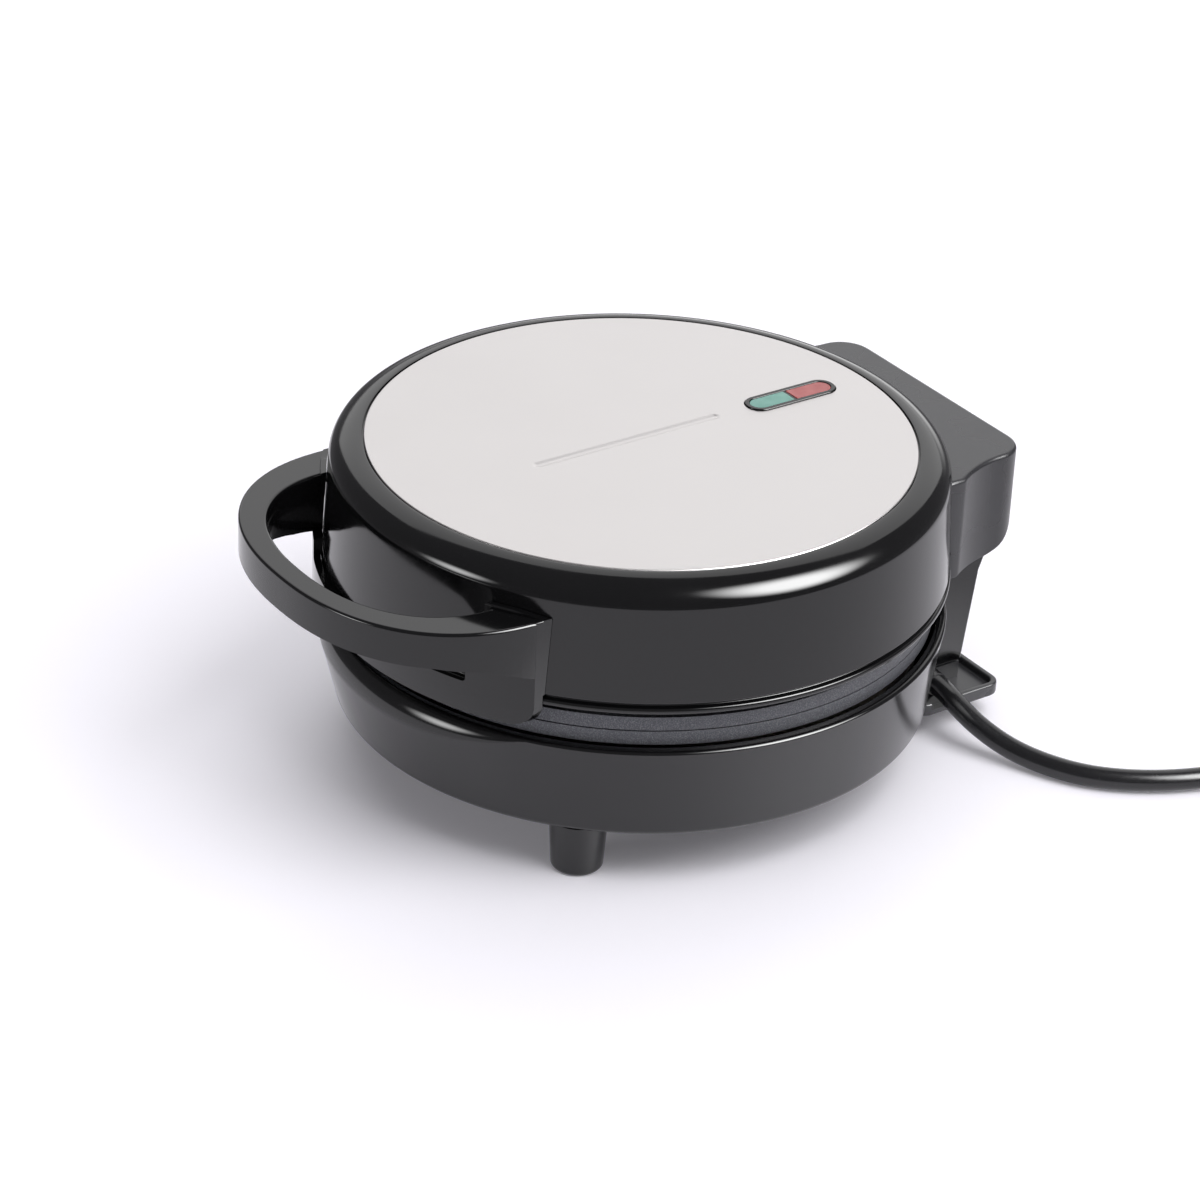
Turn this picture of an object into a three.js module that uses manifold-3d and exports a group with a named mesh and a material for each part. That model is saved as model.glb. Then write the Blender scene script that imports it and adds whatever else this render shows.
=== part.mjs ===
// A cake pop maker: a round countertop cooker whose lid turns up on a hinge at the back.
// Millimetres, +Z up. The table is z = 0, the handle points to -Y and the hinge lies at +Y.

import * as THREE from "three";
import { mergeVertices } from "three/addons/utils/BufferGeometryUtils.js";
import Module from "manifold-3d";

const wasm = await Module();
wasm.setup();

// Driving dimensions. Sizes that name another one in their comment are counted from it.

// Clearances, shared by all pieces
const seatGap = 0.3; // between pieces that rest on each other
const runningGap = 0.8; // between pieces that turn past each other
const overrun = 4; // how far a cutting shape reaches past the faces that it cuts
const weld = 0.001; // points closer than this are one point

// How finely the round shapes are divided
const bodySteps = 48; // round the housings
const innerSteps = 36; // round the plates and shields
const cavitySteps = 12; // round a cavity
const cavityRings = 4; // from a cavity's rim to its bottom
const smallSteps = 16; // round feet, ears and the plug
const screwSteps = 8; // round screws and lamps
const cornerSteps = 4; // along a rounded corner

// Lower housing. The radii of the housings are counted outwards from the cavities.
const footHeight = 18.5; // from the table to the housing's underside
const baseWallLean = 4; // the wall's foot stands in this much
const baseWallThickness = 2.6;
const baseEdgeRadius = 2.2; // at the foot of the wall
const baseRimDrop = 6.2; // from the parting plane down to the rim's outer edge
const baseShoulderRise = 1.2; // the rim climbs this much towards the plate
const baseShoulderWidth = 2.2;
const lipDrop = 8; // at the front the wall's upper edge lies this much lower
const lipBulge = 2.6; // and stands out this much further
const lipHalfAngle = 36; // degrees to each side of the handle
const lipSharpness = 2.6; // how suddenly the lip ends, as a power
const wiringHeight = 12.6; // from the housing's floor to the heat shield
const baseVentCount = 5;
const baseVentWidth = 3;
const baseVentLength = 26;
const baseVentPitch = 9;
const baseVentOffset = 46; // from the axis to the middle of each row

// Feet: two under the housing at the front, and two under the cord tray at the back
const footTopRadius = 9.4;
const footBottomRadius = 8.4;
const footEdgeRadius = 1.6;
const footInset = 10.8; // from the foot of the wall to a foot's middle
const footAngle = 45; // degrees to each side of the handle
const trayFootRadius = 6.5;
const trayFootOffset = 20; // to each side of the middle

// Baking plates: the parting plane, and one plate above and one below it
const partingGap = 0.4;
const cavityRadius = 19; // of the ball of cake
const cavityRingRadius = 57;
const plateInset = 4.5; // from the housing's rim to the plate's edge
const plateThickness = 3;
const plateSkirtHeight = 4.6;
const plateSkirtWidth = 3.2;
const cavityWallThickness = 2.2;
const ringCavityCount = 6;
const sensorPadRadius = 8.5; // flat pad on the middle cup, where the thermostat sits
const plateScrewInset = 7.5; // from the plate's edge
const plateScrewCount = 3;
const plateScrewAngle = 30; // degrees from the handle to the first screw

// Screws
const screwShankRadius = 1.7;
const screwHeadRadius = 3.1;
const screwHeadHeight = 1.8;
const screwBiteLength = 8; // of the shank in its boss
const screwHeadShare = 0.75; // the head's flat top, of its radius
const screwTipShare = 0.4; // the tip, of the shank's radius
const bossRadius = 3.8;

// Heating elements and heat shields
const elementRadius = 3.3; // of the sheathed tube
const elementInset = 15.3; // from the plate's edge to the tube's middle
const elementGap = 0.7; // between the tube and the cups
const elementOpeningAngle = 26; // degrees left open at the back
const elementLegLength = 3; // the legs end this far past the shield
const elementBendRadius = 7;
const elementSteps = 50;
const elementSides = 6;
const shieldInset = 4.5; // from the plate's edge
const shieldThickness = 0.8;
const shieldRimHeight = 5;
const shieldHoleRadius = 14;

// Upper housing
const lidRoomHeight = 25.1; // from the upper heat shield to the roof's underside
const lidWallInset = 0.4; // from the lower housing's rim to the foot of the lid's wall
const lidWallLean = 1.7; // the wall's top stands in this much
const lidWallThickness = 2.6;
const lidFootHeight = 11.8; // from the parting plane to the foot of the wall
const lidShoulderHeight = 8.3; // from the wall's top to the top of the disc
const lidRoofThickness = 2.4;
const grooveHeight = 1.5;
const grooveDepth = 1.3;
const lidLipHeight = 2;
const lidLipDepth = 0.5; // the lip below the groove stands out this much
const discInset = 11.2; // from the top of the lid's wall to the disc's edge
const discThickness = 0.8;
const discEdgeGap = 0.5;
const discLineInset = 49.2; // from the disc's front edge to the pressed straight line
const discLineGap = 10.45; // from the line's rear end to the window
const discLineWidth = 3;
const discLineHeight = 0.4;

// Indicator window on the disc
const windowInset = 29.5; // from the disc's rear edge to the window's middle
const windowLength = 34.5;
const windowWidth = 10;
const windowFrameWidth = 1.7;
const windowRise = 0.5; // above the disc
const windowDepth = 6;
const windowFlangeThickness = 1.4;
const lensDepth = 2.5;
const lensStepHeight = 0.2;
const lensGap = 0.6; // from the window's middle to a lens
const lampRadius = 2.4;
const lampLength = 11;
const lampHolderHeight = 7;
const lampHolderWidth = 9;
const lampHolderThickness = 1.5;

// Handle: a flat D-shaped loop with an apron that follows the wall
const handleProjection = 32.4; // from the foot of the lid's wall to the front of the loop
const handleHalfWidth = 65;
const handleDepth = 54; // of the loop's round part
const handleDrop = 5; // from the top of the lid's wall down to the loop's top
const handleBandHeight = 12;
const handleFullness = 2.25; // 2 is an ellipse, and more is squarer
const handleFlankWidth = 14.5; // of the loop at its sides
const handleBandThickness = 8; // of the loop at its front
const fingerDepth = 38; // of the opening's round part
const handleSteps = 24;
const apronThickness = 3.2;
const apronBottomGap = 0.8; // above the parting plane
const apronRise = 6; // from the foot of the lid's wall to the apron's edge inside the loop
const apronCornerRadius = 7;
const handleScrewInset = 10.4; // from the loop's side
const handleScrewDrop = 6; // from the loop's top
const handleScrewLength = 9;

// Hinge and hood
const hingeGap = 2; // from the lower housing's rim back to the hinge's axis
const hingeRise = 19.8; // from the parting plane to the hinge's axis
const barrelRadius = 18; // of the hood about the hinge
const hoodHalfWidth = 49;
const hoodFlare = 7; // the hood widens this much towards the housing
const hoodFlareLength = 22;
const hoodWallThickness = 2.5;
const hoodCornerRadius = 11;
const hoodWebThickness = 2.8;
const hoodWebDepth = 7.5; // in front of the hinge
const earSlotDrop = 3.5; // from the hood's top to the ears' slots
const pinRadius = 2.5;
const earRadius = 7.5;
const earOffset = 44; // from the middle to the ears' outer faces
const earThickness = 10;

// Rear post, under the hinge. Its back face is counted from the hinge's axis.
const postBackDepth = 5.5; // where the back face starts to flare
const postFlareDrop = 26.5;
const postFootDepth = 1;
const postFootDrop = 2.5; // the post reaches this far below the housing
const postEarDepth = 12;
const postEarDrop = 15.5;
const postTopDrop = 21; // between the ears
const postScrewOffset = 22;
const postScrewRise = 6.9; // above the housing's floor

// Cord tray, under the post. Its front and back are counted from the hinge's axis.
const trayHalfWidth = 57;
const trayFrontDepth = 26;
const trayBackDepth = 9;
const trayBottomHeight = 7.5; // above the table
const trayFloorThickness = 2;
const trayRimHeight = 4.5;
const trayRimWidth = 2.2;
const trayCornerRadius = 5;
const neckInset = 0.5; // the neck stands back this much from the post's faces
const neckFrontDepth = 20;
const cordNotchWidth = 12;
const cordNotchDepth = 2.5;
const cordNotchShift = 1.8; // from the cord's hole towards the handle
const trayScrewOffset = 37;
const trayScrewInset = 5.3; // from the neck's back
const trayScrewBiteLength = 12;

// Terminal block and cord clamp in the lower housing
const blockLength = 30;
const blockWidth = 16;
const blockHeight = 9;
const blockInset = 26; // from the foot of the wall to the terminal block's middle
const blockBoreRadius = 1.6;
const clampLength = 22;
const clampWidth = 8;
const clampThickness = 3;
const clampOffset = 22; // from the terminal block

// Thermostat and thermal fuse on the upper plate
const thermostatRadius = 8;
const thermostatHeight = 8;
const thermostatEarWidth = 3;
const thermostatEarThickness = 1.2;
const fuseRadius = 2;
const fuseLength = 22;
const fuseOffset = 30; // from the axis

// Mains cord, with the rubber gland at its foot and the moulded plug
const cordDiameter = 7.2;
const cordSides = 10;
const glandRootRadius = 4.5;
const glandTipRadius = 4;
const glandLength = 5.5; // outside the post
const glandInset = 15; // inside it
const cordExitDepth = 13.4; // from the hinge's axis to the middle of the cord's hole
const cordExitRise = 4.1; // above the tray's floor
const cordRestHeight = 3.7; // the middle of the cord above the table, where it lies on it
const coilTurns = 2.5;
const coilRadius = 43; // of the outermost turn
const coilPitch = 8.2; // each turn lies this much further in
const coilLayerRise = 7.9; // from the lower layer to the upper one
const coilClimbTurns = 0.5; // where the spiral reverses
const coilTurnSteps = 24;
const coilSides = 6;
const coilTailLength = 30; // from the last turn to the plug
const coilTailShares = [
  [0.17, 0],
  [0.34, 0.12],
  [0.5, 0.5],
  [0.66, 0.88],
  [0.83, 1],
  [1, 1],
]; // the tail's rise to the plug: how far along it, and how high
const plugRadius = 17.8;
const plugFaceLength = 15;
const plugGripRadius = 12.5;
const plugGripLength = 22;
const plugGripShare = 0.82; // the grip's narrow end, of its radius
const plugTailRadius = 5.6;
const plugTailLength = 16;
const plugNotchWidths = [9.5, 5.4]; // at the top and bottom, and at the sides
const plugNotchDepths = [3.2, 1.8];
const plugNotchLength = 11;
const plugPinRadius = 2.4;
const plugPinLength = 19;
const plugPinPitch = 19;
const plugPinDepth = 8;

// Sizes that follow from the ones above. First the radii.
const cupRadius = cavityRadius + cavityWallThickness;
const elementRingRadius = cavityRingRadius + cupRadius + elementGap + elementRadius;
const plateRadius = elementRingRadius + elementInset;
const baseRimRadius = plateRadius + plateInset;
const baseBottomRadius = baseRimRadius - baseWallLean;
const shieldRadius = plateRadius - shieldInset;
const lidWallBottomRadius = baseRimRadius - lidWallInset;
const lidWallTopRadius = lidWallBottomRadius - lidWallLean;
const lidLipRadius = lidWallBottomRadius + lidLipDepth;
const apronRadius = lidWallBottomRadius + apronThickness;
const discRadius = lidWallTopRadius - discInset;
const cordRadius = cordDiameter / 2;

// Then the heights, from the table upwards.
const floorTop = footHeight + baseWallThickness;
const shieldDepth = cupRadius + seatGap + shieldThickness; // from a plate's face
const lowerFace = floorTop + wiringHeight + shieldDepth;
const partingHeight = lowerFace + partingGap / 2;
const upperFace = partingHeight + partingGap / 2;
const baseRimHeight = partingHeight - baseRimDrop;
const lidWallBottomHeight = partingHeight + lidFootHeight;
const lidLipBottom = lidWallBottomHeight - grooveHeight - lidLipHeight;
const roofUnderside = upperFace + shieldDepth + lidRoomHeight;
const discSeat = roofUnderside + lidRoofThickness;
const discTop = discSeat + seatGap + discThickness;
const lidWallTopHeight = discTop - lidShoulderHeight;
const handleTop = lidWallTopHeight - handleDrop;
const hoodTop = handleTop;
const hingeHeight = partingHeight + hingeRise;
const apronBottom = partingHeight + apronBottomGap;
const apronTop = lidWallBottomHeight + apronRise;
const handleScrewHeight = handleTop - handleScrewDrop;
const postScrewHeight = floorTop + postScrewRise;
const postBottom = footHeight - postFootDrop;
const neckTop = postBottom - seatGap;
const trayTop = trayBottomHeight + trayRimHeight;
const trayFloorTop = trayBottomHeight + trayFloorThickness;
const cordExitHeight = trayFloorTop + cordExitRise;

// And the distances from the housings' axis, to the front and to the back.
const handleReach = lidWallBottomRadius + handleProjection;
const hingeBack = baseRimRadius + hingeGap;
const hoodReach = hingeBack + barrelRadius;
const postBackBottom = hingeBack + postFootDepth;
const neckBack = postBackBottom - neckInset;
const cordExitBack = hingeBack - cordExitDepth;
const windowMiddle = discRadius - windowInset;
const bodyShift = (handleReach - hoodReach) / 2; // centres the whole object on the origin
const earInner = earOffset - earThickness;
const neckHalfWidth = earOffset - neckInset;

// Finishes

const finish = (color, roughness, metalness = 0) => () =>
  new THREE.MeshStandardMaterial({ color, roughness, metalness });
const glossBlack = finish(0x121214, 0.12);
const satinBlack = finish(0x2a2a2d, 0.4);
const brushedSteel = finish(0xcfccca, 0.32, 1);
const brightSteel = finish(0xb9bcc0, 0.25, 1);
const coatedPlate = finish(0x3c3e42, 0.5, 0.3);
const sheetMetal = finish(0xa9adb2, 0.4, 1);
const greenLens = finish(0x6fa89c, 0.25);
const redLens = finish(0xb85a5a, 0.25);
const clearGlass = finish(0xe8d8c8, 0.1);
const ceramic = finish(0xe8e4da, 0.6);
const cordBlack = finish(0x161617, 0.45);
const brass = finish(0xc9a95c, 0.3, 1);

// Making solids

// A closed geometry as a solid that can be joined and cut.
function solid(geometry) {
  const bare = new THREE.BufferGeometry();
  bare.setAttribute("position", geometry.getAttribute("position"));
  bare.setIndex(geometry.index);
  const merged = mergeVertices(bare, weld);
  const kept = [];
  const index = merged.index.array;
  for (let i = 0; i < index.length; i += 3) {
    const [a, b, c] = [index[i], index[i + 1], index[i + 2]];
    if (a !== b && b !== c && c !== a) kept.push(a, b, c);
  }
  const vertProperties = new Float32Array(merged.getAttribute("position").array);
  const mesh = new wasm.Mesh({ numProp: 3, vertProperties, triVerts: new Uint32Array(kept) });
  return new wasm.Manifold(mesh);
}

// A solid as a named mesh of the scene.
function piece(name, shape, material) {
  const { vertProperties, triVerts } = shape.getMesh();
  const geometry = new THREE.BufferGeometry();
  geometry.setAttribute("position", new THREE.BufferAttribute(vertProperties, 3));
  geometry.setIndex(new THREE.BufferAttribute(triVerts, 1));
  geometry.computeVertexNormals();
  const mesh = new THREE.Mesh(geometry, material());
  mesh.name = name;
  return mesh;
}

const join = (shapes) => shapes.reduce((all, next) => all.add(next));
const cut = (shape, tools) => tools.reduce((left, tool) => left.subtract(tool), shape);
const radians = THREE.MathUtils.degToRad;

// A point at a distance from the housing's axis, its angle counted from the handle towards +X.
const around = (radius, degrees, z) =>
  new THREE.Vector3(radius * Math.sin(radians(degrees)), -radius * Math.cos(radians(degrees)), z);

// A profile of [radius, height] pairs, turned round the Z axis.
function turned(profile, steps = bodySteps) {
  const points = profile.map(([r, z]) => new THREE.Vector2(r, z));
  return solid(new THREE.LatheGeometry(points, steps).rotateX(Math.PI / 2));
}

// The same for a profile that closes on itself away from the axis.
const turnedRing = (profile, steps) => turned([...profile, profile[0]], steps);

// A flat outline of [x, y] pairs, standing from z = low to z = high.
function upright(outline, low, high) {
  const shape = new THREE.Shape(outline.map(([x, y]) => new THREE.Vector2(x, y)));
  const options = { depth: high - low, bevelEnabled: false };
  return solid(new THREE.ExtrudeGeometry(shape, options).translate(0, 0, low));
}

// An outline of [y, z] pairs, drawn in the side view, reaching from x = left to x = right.
function sideways(outline, left, right) {
  const shape = new THREE.Shape(outline.map(([y, z]) => new THREE.Vector2(y, z)));
  const options = { depth: right - left, bevelEnabled: false };
  const geometry = new THREE.ExtrudeGeometry(shape, options).translate(0, 0, left);
  const turn = new THREE.Matrix4().makeBasis(
    new THREE.Vector3(0, 1, 0),
    new THREE.Vector3(0, 0, 1),
    new THREE.Vector3(1, 0, 0),
  );
  return solid(geometry.applyMatrix4(turn));
}

// An outline of [x, z] pairs, drawn in the front view, reaching from y = back to y = front.
function frontways(outline, front, back) {
  const shape = new THREE.Shape(outline.map(([x, z]) => new THREE.Vector2(x, z)));
  const options = { depth: back - front, bevelEnabled: false };
  return solid(new THREE.ExtrudeGeometry(shape, options).rotateX(Math.PI / 2).translate(0, back, 0));
}

const block = ([left, right], [front, back], [low, high]) =>
  upright([[left, front], [right, front], [right, back], [left, back]], low, high);

// A round bar from one point to another.
function bar(from, to, radiusFrom, radiusTo = radiusFrom, steps = smallSteps) {
  const axis = new THREE.Vector3().subVectors(to, from);
  const geometry = new THREE.CylinderGeometry(radiusTo, radiusFrom, axis.length(), steps);
  const turn = new THREE.Quaternion().setFromUnitVectors(
    new THREE.Vector3(0, 1, 0),
    axis.clone().normalize(),
  );
  const middle = new THREE.Vector3().addVectors(from, to).multiplyScalar(1 / 2);
  return solid(geometry.applyQuaternion(turn).translate(middle.x, middle.y, middle.z));
}

const pillar = (x, y, low, high, radius, steps) =>
  bar(new THREE.Vector3(x, y, low), new THREE.Vector3(x, y, high), radius, radius, steps);

// A round section carried along a curve.
function tube(curve, radius, steps, sides) {
  const section = new THREE.Shape();
  for (let i = 0; i < sides; i++) {
    const turn = (i / sides) * 2 * Math.PI;
    const point = [radius * Math.cos(turn), radius * Math.sin(turn)];
    if (i === 0) section.moveTo(...point);
    else section.lineTo(...point);
  }
  section.closePath();
  return solid(new THREE.ExtrudeGeometry(section, { steps, extrudePath: curve }));
}

// Points of an arc in [a, b] pairs, between two angles in degrees.
function arc([middleA, middleB], radiusA, radiusB, from, to, steps = cornerSteps) {
  return Array.from({ length: steps + 1 }, (_, i) => {
    const turn = radians(from + ((to - from) * i) / steps);
    return [middleA + radiusA * Math.cos(turn), middleB + radiusB * Math.sin(turn)];
  });
}

// A rectangle with round corners, as [a, b] pairs.
function roundedRectangle([left, right], [low, high], corner, steps = cornerSteps) {
  return [
    ...arc([right - corner, high - corner], corner, corner, 0, 90, steps),
    ...arc([left + corner, high - corner], corner, corner, 90, 180, steps),
    ...arc([left + corner, low + corner], corner, corner, 180, 270, steps),
    ...arc([right - corner, low + corner], corner, corner, 270, 360, steps),
  ];
}

// Screws

// A pan-head screw whose head lies at the first point and whose shank runs towards the second.
function screw(head, tip) {
  const along = new THREE.Vector3().subVectors(tip, head).normalize();
  const at = (distance) => head.clone().addScaledVector(along, distance);
  const length = head.distanceTo(tip);
  const shankEnd = length - screwShankRadius;
  return join([
    bar(at(0), at(screwHeadHeight), screwHeadRadius * screwHeadShare, screwHeadRadius, screwSteps),
    bar(at(screwHeadHeight / 2), at(shankEnd), screwShankRadius, screwShankRadius, screwSteps),
    bar(at(shankEnd - weld), tip, screwShankRadius, screwShankRadius * screwTipShare, screwSteps),
  ]);
}

// The hole that clears such a screw, reaching past both ends.
function screwHole(head, tip) {
  const along = new THREE.Vector3().subVectors(tip, head).normalize();
  const before = head.clone().addScaledVector(along, -overrun);
  const neck = head.clone().addScaledVector(along, screwHeadHeight + seatGap);
  const end = tip.clone().addScaledVector(along, seatGap);
  const wide = screwHeadRadius + seatGap;
  const narrow = screwShankRadius + seatGap;
  return join([bar(before, neck, wide, wide, screwSteps), bar(head, end, narrow, narrow, screwSteps)]);
}

// Lower housing

// How much of the front lip an angle from the handle has: 1 in the middle and 0 from its ends on.
function lipShare(degrees) {
  const wrapped = Math.abs(THREE.MathUtils.euclideanModulo(degrees + 180, 360) - 180);
  return Math.max(0, 1 - (wrapped / lipHalfAngle) ** lipSharpness);
}

// The housing's section at one angle, from the middle of its underside, up the wall, over the rim
// and down inside to the middle of its floor.
function baseSection(degrees) {
  const lip = lipShare(degrees);
  const edgeHeight = baseRimHeight - lipDrop * lip;
  const edgeRadius = baseRimRadius + lipBulge * lip;
  const crest = baseRimRadius - baseShoulderWidth;
  const crestHeight = baseRimHeight + baseShoulderRise;
  const shoulder = arc(
    [crest, edgeHeight],
    edgeRadius - crest,
    crestHeight - edgeHeight,
    0,
    90,
  );
  return [
    [0, footHeight],
    [baseBottomRadius - baseEdgeRadius, footHeight],
    [baseBottomRadius - baseEdgeRadius / 3, footHeight + baseEdgeRadius / 3],
    [baseBottomRadius, footHeight + baseEdgeRadius],
    ...shoulder,
    [crest - baseWallThickness / 2, crestHeight - baseWallThickness / 2],
    [baseRimRadius - baseWallThickness * 2, baseRimHeight - lipDrop - baseWallThickness],
    [baseBottomRadius - baseWallThickness, floorTop],
    [0, floorTop],
  ];
}

// A section that changes with the angle, turned round the axis. It starts and ends on the axis.
function turnedBy(sectionAt, steps) {
  const positions = [];
  const index = [];
  const rows = sectionAt(0).length;
  for (let i = 0; i < steps; i++) {
    const degrees = (i / steps) * 360;
    for (const [r, z] of sectionAt(degrees)) positions.push(...around(r, degrees, z).toArray());
  }
  for (let i = 0; i < steps; i++) {
    const here = i * rows;
    const next = ((i + 1) % steps) * rows;
    for (let j = 0; j + 1 < rows; j++) {
      index.push(here + j, next + j, next + j + 1);
      index.push(here + j, next + j + 1, here + j + 1);
    }
  }
  const geometry = new THREE.BufferGeometry();
  geometry.setAttribute("position", new THREE.Float32BufferAttribute(positions, 3));
  geometry.setIndex(index);
  return solid(geometry);
}

const screwAngles = Array.from(
  { length: plateScrewCount },
  (_, i) => plateScrewAngle + (i * 360) / plateScrewCount,
);
const lowerScrews = screwAngles.map((degrees) => [
  around(plateRadius - plateScrewInset, degrees, lowerFace - seatGap),
  around(plateRadius - plateScrewInset, degrees, lowerFace - plateThickness - screwBiteLength),
]);
const upperScrews = screwAngles.map((degrees) => [
  around(plateRadius - plateScrewInset, degrees, upperFace + seatGap),
  around(plateRadius - plateScrewInset, degrees, upperFace + plateThickness + screwBiteLength),
]);

const trayMiddle = hingeBack + (trayBackDepth - trayFrontDepth) / 2;
const frontFeet = [-footAngle, footAngle].map((degrees) =>
  around(baseBottomRadius - footInset, degrees, 0),
);
const rearFeet = [-1, 1].map((side) => new THREE.Vector3(side * trayFootOffset, trayMiddle, 0));

// The wall's outer radius at a height.
const baseRadiusAt = (z) =>
  THREE.MathUtils.mapLinear(z, footHeight, baseRimHeight, baseBottomRadius, baseRimRadius);

const postScrews = [-1, 1].map((side) => {
  const x = side * postScrewOffset;
  const wallInside = baseRadiusAt(postScrewHeight) - baseWallThickness * 2;
  const head = Math.sqrt(wallInside ** 2 - x ** 2) - screwHeadHeight;
  return [
    new THREE.Vector3(x, head, postScrewHeight),
    new THREE.Vector3(x, postBackBottom - seatGap, postScrewHeight),
  ];
});

function baseVents() {
  const middle = (baseVentCount - 1) / 2;
  const places = Array.from({ length: baseVentCount }, (_, i) => (i - middle) * baseVentPitch);
  return [-1, 1].flatMap((side) =>
    places.map((x) =>
      upright(
        roundedRectangle(
          [x - baseVentWidth / 2, x + baseVentWidth / 2],
          [
            side * baseVentOffset - baseVentLength / 2,
            side * baseVentOffset + baseVentLength / 2,
          ],
          baseVentWidth / 2 - weld,
          1,
        ),
        footHeight - overrun,
        floorTop + overrun,
      ),
    ),
  );
}

function lowerHousing() {
  const shell = turnedBy(baseSection, bodySteps);
  const bossTop = lowerFace - plateThickness - seatGap;
  const bosses = lowerScrews.map(([head]) =>
    pillar(head.x, head.y, floorTop - baseWallThickness / 2, bossTop, bossRadius, screwSteps),
  );
  const holes = [...lowerScrews, ...postScrews].map(([head, tip]) => screwHole(head, tip));
  return cut(join([shell, ...bosses]), [...baseVents(), ...holes]);
}

// The space that the lower housing fills, let out by a gap, to shape what stands against it.
const besideBase = turned([
  [0, footHeight - seatGap],
  [baseBottomRadius + seatGap, footHeight - seatGap],
  [baseRimRadius + seatGap, baseRimHeight],
  [baseRimRadius + seatGap, hingeHeight],
  [0, hingeHeight],
]);

// A foot that stands on the table and reaches up to what it carries.
function foot({ x, y }, carried, topRadius, bottomRadius) {
  const profile = [
    [0, 0],
    [bottomRadius - footEdgeRadius, 0],
    [bottomRadius - footEdgeRadius / 4, footEdgeRadius / 3],
    [bottomRadius, footEdgeRadius],
    [topRadius, carried - seatGap],
    [0, carried - seatGap],
  ];
  return turned(profile, smallSteps).translate([x, y, 0]);
}

const frontFoot = (place) => foot(place, footHeight, footTopRadius, footBottomRadius);
const rearFoot = (place) => foot(place, trayBottomHeight, trayFootRadius, trayFootRadius);

// Baking plates

const cavityPlaces = [
  [0, 0],
  ...Array.from({ length: ringCavityCount }, (_, i) => {
    const turn = (i / ringCavityCount) * 2 * Math.PI;
    return [cavityRingRadius * Math.cos(turn), cavityRingRadius * Math.sin(turn)];
  }),
];

// Half a ball under the plane z = 0, with its rim carried on up to a height.
function halfBall(radius, above) {
  const side = arc([0, 0], radius, radius, -90, 0, cavityRings);
  side[0][0] = 0;
  return turned([...side, [radius, above], [0, above]], cavitySteps);
}

// The lower plate about its own face at z = 0, with its cups hanging below.
function bakingPlate(padded) {
  const sheet = turned(
    [
      [0, -plateThickness],
      [plateRadius - plateSkirtWidth, -plateThickness],
      [plateRadius - plateSkirtWidth, -plateSkirtHeight],
      [plateRadius, -plateSkirtHeight],
      [plateRadius, 0],
      [0, 0],
    ],
    innerSteps,
  );
  const cups = cavityPlaces.map(([x, y]) => {
    const above = block([-cupRadius, cupRadius], [-cupRadius, cupRadius], [-weld, cavityWallThickness]);
    return halfBall(cupRadius, 0).subtract(above).translate([x, y, 0]);
  });
  const hollows = cavityPlaces.map(([x, y]) => halfBall(cavityRadius, overrun).translate([x, y, 0]));
  const padBottom = -cupRadius - cavityWallThickness / 2;
  const pad = padded ? [pillar(0, 0, padBottom, -cavityRadius, sensorPadRadius, smallSteps)] : [];
  return cut(join([sheet, ...cups, ...pad]), hollows);
}

function lowerPlate() {
  const holes = lowerScrews.map(([head, tip]) => screwHole(head, tip));
  return cut(bakingPlate(false).translate([0, 0, lowerFace]), holes);
}

// The upper plate is the lower one turned over about the X axis.
function upperPlate() {
  const holes = upperScrews.map(([head, tip]) => screwHole(head, tip));
  return cut(bakingPlate(true).rotate([180, 0, 0]).translate([0, 0, upperFace]), holes);
}

// Heating elements and shields

const lowerElementHeight = lowerFace - plateThickness - seatGap - elementRadius;
const upperElementHeight = upperFace + plateThickness + seatGap + elementRadius;
const lowerLegEnd = lowerFace - shieldDepth - elementLegLength;
const upperLegEnd = upperFace + shieldDepth + elementLegLength;

// The places of an element's two legs, left and right of the hinge.
const elementLegs = [-1, 1].map((side) =>
  around(elementRingRadius, 180 - (side * elementOpeningAngle) / 2, 0),
);

// A sheathed tube bent to an open ring, whose two ends turn away from the plate.
function heatingElement(height, legEnd) {
  const away = Math.sign(legEnd - height);
  const bendSweep = THREE.MathUtils.radToDeg(elementBendRadius / elementRingRadius);
  const first = 180 + elementOpeningAngle / 2;
  const last = first + 360 - elementOpeningAngle;
  const leg = (degrees, inwards) => [
    around(elementRingRadius, degrees, legEnd),
    ...arc([1, 1], 1, 1, 180, 270).map(([over, up]) => {
      const z = height + away * elementBendRadius * up;
      return around(elementRingRadius, degrees + inwards * bendSweep * over, z);
    }),
  ];
  const ring = Array.from({ length: elementSteps + 1 }, (_, i) =>
    around(elementRingRadius, first + (i / elementSteps) * (last - first), height),
  );
  const points = [...leg(first, 1), ...ring.slice(2, -2), ...leg(last, -1).reverse()];
  const curve = new THREE.CatmullRomCurve3(points, false, "centripetal");
  return tube(curve, elementRadius, elementSteps, elementSides);
}

// A shallow sheet dish over the cups. "away" is 1 above the plates and -1 below them.
function heatShield(face, away, screws) {
  const near = face + away * (cupRadius + seatGap);
  const far = near + away * shieldThickness;
  const rim = near - away * shieldRimHeight;
  const profile = [
    [shieldHoleRadius, near],
    [shieldRadius - shieldThickness, near],
    [shieldRadius - shieldThickness, rim],
    [shieldRadius, rim],
    [shieldRadius, far],
    [shieldHoleRadius, far],
  ];
  const ring = turnedRing(away > 0 ? profile : profile.reverse(), innerSteps);
  const low = Math.min(rim, far) - overrun;
  const high = Math.max(rim, far) + overrun;
  const clearance = ({ x, y }, radius) => pillar(x, y, low, high, radius + runningGap, screwSteps);
  return cut(ring, [
    ...screws.map(([head]) => clearance(head, bossRadius)),
    ...elementLegs.map((leg) => clearance(leg, elementRadius)),
  ]);
}

// Upper housing

const lidShoulderWidth = discInset - discEdgeGap;

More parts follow.
